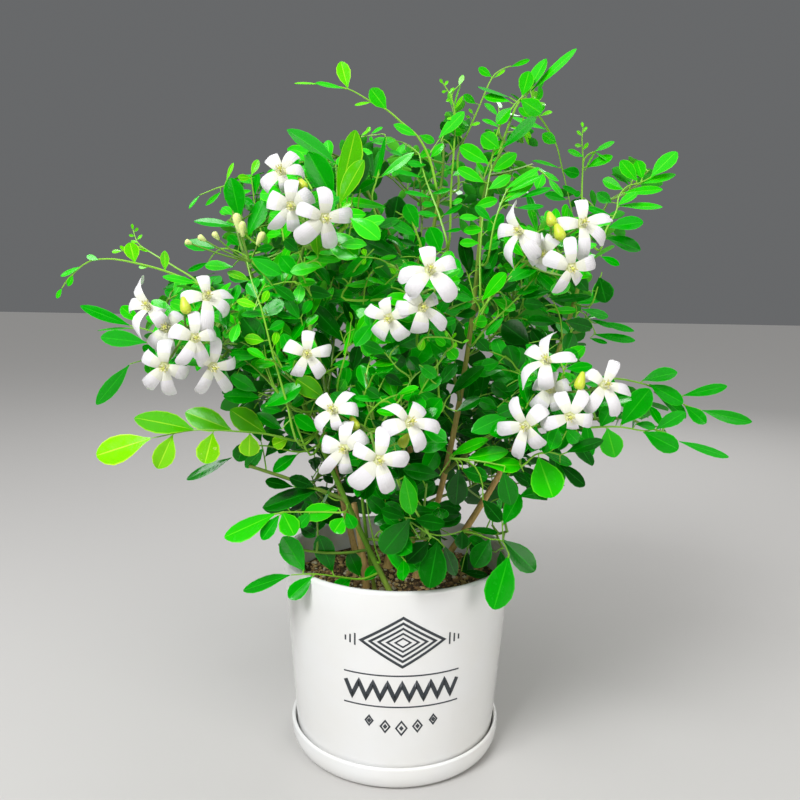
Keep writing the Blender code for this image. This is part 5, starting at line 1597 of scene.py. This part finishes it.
def traced_spray(mass, rib, leaves, draw):
    """A spray placed where the view shows it, carried by the nearest wood of its mass."""
    knots = [seen_at(*knot) for knot in rib]
    path = smooth_path([nearest_carrier(mass, knots[0])] + knots, RIB_POINTS)
    reach = sum((after - before).length for before, after in zip(path, path[1:]))
    foot_radius = min(0.42 + 0.004 * reach, RIB_FOOT)
    for before, after in zip(path[RIB_POINTS:], path[RIB_POINTS + 1 :]):
        edge = view_right.cross(after - before).cross(after - before).normalized() * foot_radius
        mark_strip(before, after, edge)
    add_tube(stalks, path, ramp(foot_radius, RIB_TIP, len(path)), 5)
    for root_x, root_y, tip_x, tip_y, seen_width, tone in leaves:
        spots = [(math.hypot(root_x - knot[0], root_y - knot[1]), knot[2]) for knot in rib]
        depth = min(spots)[1]
        root = seen_at(root_x, root_y, depth)
        rib_spot = min(path, key=lambda p: (p - root).length)
        tip = seen_at(tip_x, tip_y, depth)
        tip = seen_at(tip_x, tip_y, depth + (tip - root).length * draw.uniform(-0.25, 0.1))
        direction = (tip - root).normalized()
        length = (tip - root).length
        sight = (VIEW_FROM - (root + tip) / 2.0).normalized()
        seen = seen_width * px_size(root)
        width = max(seen, length * (TRACED_RATIO if seen > length * 0.28 else SLIM_RATIO))
        face = (sight - direction * sight.dot(direction)).normalized()
        tilt = math.acos(min(1.0, seen / width))
        faces = [Matrix.Rotation(sign * tilt, 3, direction) @ face for sign in (-1.0, 1.0)]
        face = max(faces, key=lambda way: way.z)
        side = face.cross(direction)
        stand = root + direction * min(0.8, length * 0.05)
        leaf(stand, direction, side, face, length * 0.97, width, tone, mass, draw, TRACED_CURL)
        note_leaf((root + tip) / 2.0, length / 2.0, leaf_proxy(stand, direction, side, length * 0.97, width))
        widest = root.lerp(tip, 0.6)
        mark_shown([root, widest + side * (width / 2.0), tip, widest - side * (width / 2.0)])
        gap = (rib_spot - root).length
        if gap > LONG_STALK:
            behind = [p for p in path[: path.index(rib_spot)] if (p - rib_spot).length > gap * 0.6]
            arch = bend((behind or path[:1])[-1], rib_spot, stand, STALK_POINTS)
            add_tube(stalks, arch, ramp(0.42, RIB_TIP, STALK_POINTS), 4)
        elif gap > 0.3:
            leaf_stalk(rib_spot, stand, direction, max(length, 6.0))


draw = random.Random(BLOSSOM_SEED + 1)
for spray in SPRAYS:
    traced_spray(*spray, draw)
for name, low, high in SEEN_STEMS:
    points = [point for point in limbs[name][0] if low < point.z < high]
    for before, after in zip(points, points[1:]):
        mark_strip(before, after, view_right * 3.0)

# Twigs and leaves of the masses: shoots climb up and out through each mass, with pinnate leaves dealt
# round them by the golden angle. Leaflets are glossy, obovate and folded along a pale midrib, and larger
# low down. Their tones are darker low down, inside and at the back, partly as older leaves and partly as
# painted shade where the crown shades itself. Nothing grows where the view shows open air.
CROWN = (
    (296, 580), (262, 514), (264, 480), (300, 486), (316, 468), (262, 452), (222, 424), (212, 398),
    (160, 382), (142, 350), (146, 300), (178, 272), (186, 236), (214, 228), (226, 176), (252, 162),
    (300, 142), (340, 128), (392, 134), (436, 150), (444, 92), (470, 82), (500, 76), (548, 66), (560, 130),
    (590, 138), (612, 146), (676, 152), (674, 206), (642, 256), (604, 276), (634, 326), (632, 350),
    (592, 356), (640, 376), (686, 392), (684, 430), (640, 448), (598, 458), (584, 486), (552, 500),
    (514, 508), (506, 530), (524, 552), (528, 572), (506, 584), (470, 580), (404, 590), (330, 588),
)
SPARSE = (
    (((446, 330), (482, 322), (470, 400), (448, 446), (432, 436)), 0.05, 0.7),
    (((594, 300), (640, 300), (640, 372), (598, 372)), 0.0, 0.0),
    (((436, 50), (690, 50), (700, 300), (600, 300), (570, 200), (540, 150), (436, 120)), 0.02, 0.05),
    (((436, 120), (540, 150), (570, 200), (600, 300), (560, 270), (440, 250)), 0.06, 0.2),
    (((362, 60), (436, 60), (440, 250), (404, 236), (366, 215), (364, 150)), 0.03, 0.08),
    (((258, 120), (364, 120), (364, 150), (262, 162)), 0.03, 0.06),
    (((170, 140), (262, 140), (262, 250), (170, 250)), 0.06, 0.12),
    (((140, 250), (236, 250), (220, 400), (140, 400)), 0.06, 0.15),
    (((440, 250), (560, 270), (600, 300), (594, 350), (500, 350), (480, 320), (440, 320)), 0.3, 0.8),
    (((560, 350), (700, 350), (700, 480), (600, 470)), 0.05, 0.15),
    (((250, 430), (322, 430), (372, 560), (366, 592), (290, 592)), 0.03, 0.1),
    (((452, 462), (502, 462), (470, 560), (440, 560)), 0.05, 0.6),
    (((440, 450), (530, 440), (540, 592), (440, 592)), 0.3, 0.7),
    (((540, 440), (640, 440), (600, 510), (530, 520)), 0.06, 0.2),
)
BEHIND = 35.0
CROWN_MIDDLE = 25.0
CROWN_HALVES = (190.0, 150.0)
CROWN_LOW = 130.0
CROWN_RISE = 250.0
LEAFLET_LENGTHS = (24.0, 13.0)
LEAFLET_EVERY = 0.42
LEAFLET_FROM = 0.22
LEAFLET_SPAN = 0.72
FROND_ARCH = 0.12
SHOOTS = 8
MOST_SHOOTS = 24
SHOOT_RISE = (0.95, -0.55)
SHOOT_REACH = (0.62, 0.88)
SHOOT_FROM = 0.2
SHOOT_SPAN = 0.75
SHOOT_POINTS = 8
SHOOT_RADII = (0.8, 0.4)
FROND_REACH = (0.55, 0.85)
MASS_LIMIT = 1.12
ENOUGH_LEAVES = 100
LEAFLET_SPLAY = math.radians(56)
LEAF_RATIO = (0.46, 0.62)
LEAF_SIZES = (1.0, 0.8)
GOLDEN_ANGLE = math.pi * (3.0 - math.sqrt(5.0))
PLANT_BASE = Vector((0.0, 12.0, 70.0))
# Leaf tones by place: the darker tones inside, low down and at the back are partly painted shade, and the
# paler tones out and up are partly painted light.
TONE_LIMITS = ((0.55, 0), (1.0, 1), (1.52, 2), (2.2, 3))
TONE_LEAST = 0.16
TONE_OUT = 0.76
TONE_UP = 1.7
TONE_SCATTER = 0.4
BACK_SHADE = 0.45
FRESH_TONE = 5
SEED = 41


def is_within(spot, outline):
    """True where a point of the view lies inside a closed outline."""
    x, y = spot
    inside = False
    for (x1, y1), (x2, y2) in zip(outline, outline[1:] + outline[:1]):
        if (y1 > y) != (y2 > y) and x < x1 + (x2 - x1) * (y - y1) / (y2 - y1):
            inside = not inside
    return inside


def leaf_share(point):
    """How much may grow at a point: nothing outside the crown, and less where the view shows sky."""
    x, y = seen_px(point)
    if not is_within((x, y), CROWN):
        return 0.0
    if shown[int(y), int(x)] < (point - VIEW_FROM).length:
        return 1.0
    for outline, front_share, back_share in SPARSE:
        if is_within((x, y), outline):
            return back_share if point.y > BEHIND else front_share
    return 1.0


def hides_flower(point):
    """True where a leaf would stand in front of an open flower, or in its petals."""
    for spot, facing in flower_spots:
        ahead = (point - spot).dot(facing)
        aside = (point - spot - facing * ahead).length
        if FLOWER_BACK < ahead < FLOWER_VIEW_DEPTH and aside < FLOWER_CLEARANCE:
            return True
    return False


def grown_leaf(root, direction, facing, length, tone, mass, draw):
    """A leaf that is placed only where it stays off limbs, pot, flowers and other leaves."""
    side = facing.cross(direction).normalized()
    width = length * draw.uniform(*LEAF_RATIO)
    half = side * (width / 2.0)
    stand = root + direction * (length * 0.06)
    low, middle, widest, high, tip = (stand + direction * (length * t) for t in (0.35, 0.5, 0.6, 0.8, 1.0))
    if not leaf_share(tip) or hides_flower(middle) or hides_flower(tip):
        return False
    samples = [stand, low, middle, widest, high, tip]
    for spot, share in ((low, 0.8), (widest, 1.0), (high, 0.75)):
        samples += [spot + half * share, spot - half * share]
    if is_in_front(samples):
        return False
    proxy = leaf_proxy(stand, direction, side, length, width)
    if proxy.overlap(obstacles) or touches_leaf(middle, length / 2.0, proxy):
        return False
    note_leaf(middle, length / 2.0, proxy)
    leaf(stand, direction, side, direction.cross(side), length, width, tone, mass, draw)
    leaf_stalk(root, stand, direction, length)
    return True


def frond(mass, start, tip, length, facing, tone, draw):
    """One pinnate leaf: an arched rib with leaflets on alternate sides and one at its end."""
    reach = (tip - start).length
    leaflets = max(3, round(reach / (LEAFLET_EVERY * length)))
    rib_end = tip - (tip - start).normalized() * (length * 0.6)
    points = bend(start, (start + rib_end) / 2.0 + UP * (reach * FROND_ARCH), rib_end, STALK_POINTS)
    between = [a.lerp(b, 0.5) for a, b in zip(points[2:], points[3:])]
    if is_in_front(points[2:] + between) or draw.random() > min(leaf_share(tip), leaf_share(points[3])):
        return 0
    furthest = 0.0
    grown = 0
    for i in range(leaflets):
        is_last = i == leaflets - 1
        share = 1.0 if is_last else LEAFLET_FROM + LEAFLET_SPAN * i / (leaflets - 1)
        root, along, _ = place_on((points, [0.0] * len(points)), share)
        aim = facing + Vector([draw.uniform(-0.3, 0.3) for _ in range(3)])
        side = along.cross(aim).normalized() * (1 if i % 2 else -1)
        splay = 0.0 if is_last else LEAFLET_SPLAY + draw.uniform(-0.15, 0.15)
        direction = (along * math.cos(splay) + side * math.sin(splay) - UP * 0.1).normalized()
        size = length * draw.uniform(0.88, 1.1) * (0.7 + 0.3 * min(share * 1.3, 1.0))
        for share_of_size in LEAF_SIZES:
            if grown_leaf(root, direction, aim, size * share_of_size, tone, mass, draw):
                furthest = max(furthest, share)
                grown += 1
                break
    if furthest > 0.0:
        kept = [point for k, point in enumerate(points) if k / (len(points) - 1) <= furthest + 0.2]
        kept = kept if len(kept) > 1 else points[:2]
        add_tube(stalks, kept, ramp(0.5, 0.28, len(kept)), 4)
    return grown


def around(along, turn):
    """The direction square to a limb at a turn round it."""
    one = along.orthogonal().normalized()
    return one * math.cos(turn) + along.cross(one) * math.sin(turn)


def facing_of(spot, draw):
    """Leaves turn up, out of the crown, and towards its nearer face, front or back."""
    outward = Vector((spot.x, spot.y - CROWN_MIDDLE, 0.0)).normalized()
    front = Vector((0.0, -1.0 if spot.y < 30.0 else 1.0, 0.0))
    return UP * draw.uniform(0.3, 0.8) + outward * 0.35 + front * draw.uniform(0.1, 0.7)


def shade_and_age_tone(spot, draw):
    """Dark tones low, inside and at the back, for old leaves and as painted shade, and fresh ones at
    the top and at the tips, for young leaves and as painted light.
    """
    out = math.hypot(spot.x / CROWN_HALVES[0], (spot.y - CROWN_MIDDLE) / CROWN_HALVES[1])
    value = TONE_LEAST + TONE_OUT * out + TONE_UP * (spot.z - 140.0) / 280.0
    # Leaves at the back get a darker tone: painted shade.
    value += draw.uniform(-TONE_SCATTER, TONE_SCATTER) - (BACK_SHADE if spot.y > BEHIND else 0.0)
    return next((tone for limit, tone in TONE_LIMITS if value < limit), FRESH_TONE)


def leaflet_length(height, draw):
    """Leaflets are largest low in the crown and small near its top."""
    share = min(max((height - CROWN_LOW) / CROWN_RISE, 0.0), 1.0)
    longest, shortest = LEAFLET_LENGTHS
    return (longest - (longest - shortest) * share) * draw.uniform(0.75, 1.2)


def grow(mass, centre, radius):
    """Shoots of one mass, each with leaves along it and young leaves at its tip."""
    draw = random.Random(f"foliage_{mass}{SEED}")
    path = mass_stems[mass]
    ahead = ((centre - PLANT_BASE).normalized() + UP * 0.25).normalized()
    across = ahead.orthogonal().normalized()
    other = ahead.cross(across)
    turn = draw.uniform(0.0, 2.0 * math.pi)
    grown = 0
    for i in range(MOST_SHOOTS):
        if i >= SHOOTS and grown > ENOUGH_LEAVES:
            break
        rise = SHOOT_RISE[0] - (SHOOT_RISE[0] - SHOOT_RISE[1]) * (i % SHOOTS) / SHOOTS
        ring_share = math.sqrt(1.0 - rise * rise)
        angle = turn + GOLDEN_ANGLE * i
        way = ahead * rise + across * (ring_share * math.cos(angle)) + other * (ring_share * math.sin(angle))
        start_share = SHOOT_FROM + SHOOT_SPAN * (SHOOTS - i % SHOOTS) / SHOOTS
        start, _, _ = place_on(path, start_share)
        tip = centre + way * (radius * draw.uniform(*SHOOT_REACH))
        points = bend(start, (start + tip) / 2.0 + ahead * (radius * -0.12), tip, SHOOT_POINTS)
        radii = ramp(*SHOOT_RADII, SHOOT_POINTS)
        hiding = [k for k in range(1, SHOOT_POINTS) if is_in_front([points[k]]) or not leaf_share(points[k])]
        clear = (hiding[0] - 1) / (SHOOT_POINTS - 1) if hiding else 1.0
        reached = 0.0
        size = leaflet_length(tip.z, draw)
        count = max(3, round(6.0 * 16.0 / size))
        spin = draw.uniform(0.0, 2.0 * math.pi)
        for k in range(count):
            share = min(0.15 + 0.85 * (k + 0.6) / count, 1.0)
            if share > clear:
                break
            foot, along, _ = place_on((points, radii), share)
            spin += GOLDEN_ANGLE
            heading = (along * 0.55 + around(along, spin) * 0.8 + UP * 0.15).normalized()
            end = foot + heading * (radius * draw.uniform(*FROND_REACH))
            if (end - centre).length > radius * MASS_LIMIT:
                end = centre + (end - centre).normalized() * (radius * MASS_LIMIT)
            tone = shade_and_age_tone(end, draw)
            placed = frond(mass, foot, end, size * draw.uniform(0.85, 1.15), facing_of(end, draw), tone, draw)
            if placed:
                grown += placed
                reached = share
        if reached:
            last_used[mass] = max(last_used[mass], math.ceil(start_share * (len(path[0]) - 1)))
            kept = max(2, math.ceil(reached * (SHOOT_POINTS - 1)) + 1)
            add_tube(stalks, points[:kept], radii[:kept], 5, TWIG_SLOT)


for mass, _, _, centre, space in MASSES:
    grow(mass, Vector(centre), space)
    points, radii = (row[: last_used[mass] + 1] for row in mass_stems[mass])
    if len(points) > 1:
        add_tube(stalks, points, radii, 6, TWIG_SLOT)

# Inner leaves: the boughs, and the stems above their bare feet, carry pinnate leaves of their own
# between the masses. They grow by the same rule, and close the hollow that the sides would show.
INNER_SEED = 5
INNER_WOOD = (
    ("stem_left", 0.42, 0.95, 9, 34.0),
    ("stem_centre", 0.22, 0.92, 15, 38.0),
    ("stem_right", 0.22, 0.92, 13, 36.0),
    ("stem_tall", 0.2, 0.92, 17, 40.0),
    ("stem_back", 0.3, 0.92, 10, 36.0),
    ("stem_back_left", 0.3, 0.92, 10, 36.0),
)
BOUGH_LEAVES = (0.15, 0.9, 5, 31.0)


def leaf_out(limb, mass, low, high, count, reach, draw):
    """Leaves dealt round a limb by the golden angle, between two shares of its length."""
    spin = draw.uniform(0.0, 2.0 * math.pi)
    for k in range(count):
        foot, along, _ = place_on(limbs[limb], low + (high - low) * (k + 0.5) / count)
        spin += GOLDEN_ANGLE
        heading = (along * 0.45 + around(along, spin) * 0.85 + UP * 0.1).normalized()
        end = foot + heading * (reach * draw.uniform(0.75, 1.2))
        size = leaflet_length(end.z, draw) * 0.85
        frond(mass, foot, end, size, facing_of(end, draw), shade_and_age_tone(end, draw), draw)


draw = random.Random(INNER_SEED)
for limb, *inner in INNER_WOOD:
    mass = next(mass for mass, carrier in limb_of.items() if carrier == limb)
    leaf_out(limb, mass, *inner, draw)
for mass in boughs:
    leaf_out("bough_" + mass, mass, *BOUGH_LEAVES, draw)


def settle_foliage(piece, masses):
    """Hides the foliage nodes of the masses that a piece stands for."""
    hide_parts(*["foliage_" + mass for mass in masses])


# Leaf skin: a waxy, glossy cuticle over green, with a paler rib and margin and a matt, paler underside.
# Side veins are about 2 mm apart and show only as the faintest relief.
for (tone, *colours), heap, masses in zip(TONES, leaf_heaps, leaf_masses):
    materials = []
    for part, colour, rough in zip(("blade", "rib", "underside"), colours, (0.2, 0.32, 0.55)):
        material, tree, shader = new_material(
            f"{tone}_leaf_{part}",
            colour,
            rough,
            Specular_IOR_Level=0.24,
            Subsurface_Weight=0.06,
            Subsurface_Radius=(0.4, 1.0, 0.1),
            Subsurface_Scale=1.2 * MM,
        )
        veined(tree, shader, 240.0, (1.0, 0.12), 0.6, (0.14, 0.5), gloss=(rough - 0.06, rough + 0.1))
        materials.append(material)
    settle_foliage(heap.piece(f"leaves_{tone}", materials, 50), sorted(masses))

# Ribs and twigs: yellow-green leaf ribs and greener twigs, smooth and slightly glossy, with pores
# that catch the light only where it grazes.
stalk_tints = (("leaf_rib_green", "84C430"), ("twig_green", "6E9A30"))
stalk_materials = grained(stalk_tints, 0.45, 1500.0, 3.0, (0.3, 0.2))
settle_foliage(stalks.piece("twigs", stalk_materials, 60), [mass for mass, *_ in MASSES])
blossom_masses = [mass for mass, _ in CLUSTERS]
settle_foliage(petals.piece("flower_petals", petal_materials, 50), blossom_masses)
settle_foliage(hearts.piece("flower_hearts", heart_materials, 50), blossom_masses)

# Bud skin: yellow-green on the large buds and paler on the young ones, smooth and slightly waxy, so
# that a little light passes through it.
bud_tints = (("bud_yellow_green", "C6D63C"), ("bud_pale", "E6EE9A"))
waxy = {"Subsurface_Weight": 0.1, "Subsurface_Scale": 1.0 * MM}
flower_buds = buds.piece("flower_buds", grained(bud_tints, 0.4, 1300.0, 2.0, (0.3, 0.2), **waxy), 60)

# The stand: a plain pale floor under soft studio light, from a large lamp at the upper left, a weaker
# one at the right and one behind that lights the leaf edges. The floor's half side and the lamps'
# places and sizes are metres.
FLOOR_HALF = 8.0
FLOOR_DROP = 0.3
LAMPS = (
    ("key", (-0.62, -0.85, 1.15), (0.0, 0.0, 0.22), 0.6, 21.0, (0.97, 0.98, 1.0)),
    ("fill", (0.85, -0.95, 0.5), (0.0, 0.0, 0.2), 0.7, 5.5, (1.0, 0.98, 0.95)),
    ("rim", (0.4, 1.1, 0.9), (0.0, 0.0, 0.25), 0.6, 4.0, (1.0, 1.0, 1.0)),
)

floor_mesh = bpy.data.meshes.new("pale_floor")
floor_corners = [(x * FLOOR_HALF, y * FLOOR_HALF, 0.0) for x, y in ((-1, -1), (1, -1), (1, 1), (-1, 1))]
floor_mesh.from_pydata(floor_corners, [], [(0, 1, 2, 3)])
floor_mesh.materials.append(new_material("pale_studio_floor", "C2C0BD", 0.8)[0])
floor = add_object("pale_floor", floor_mesh)
floor.location.z = -FLOOR_DROP * MM

for name, place, aim, size, power, colour in LAMPS:
    lamp = bpy.data.lights.new(name, "AREA")
    lamp.size = size
    lamp.energy = power
    lamp.color = colour
    light = add_object(name, lamp)
    light.location = place
    light.rotation_euler = (Vector(aim) - Vector(place)).to_track_quat("-Z", "Y").to_euler()
sky = bpy.data.lights.new("soft_top", "SUN")
sky.energy = 1.1
sky.angle = math.radians(90)
add_object("soft_top", sky).location = (0.0, 0.0, 2.0)
world = bpy.data.worlds.new("studio")
bpy.context.scene.world = world
world.use_nodes = True
world.node_tree.nodes["Background"].inputs["Color"].default_value = linear("B4B6B8")
world.node_tree.nodes["Background"].inputs["Strength"].default_value = 0.3
bpy.context.scene.view_settings.view_transform = "Standard"
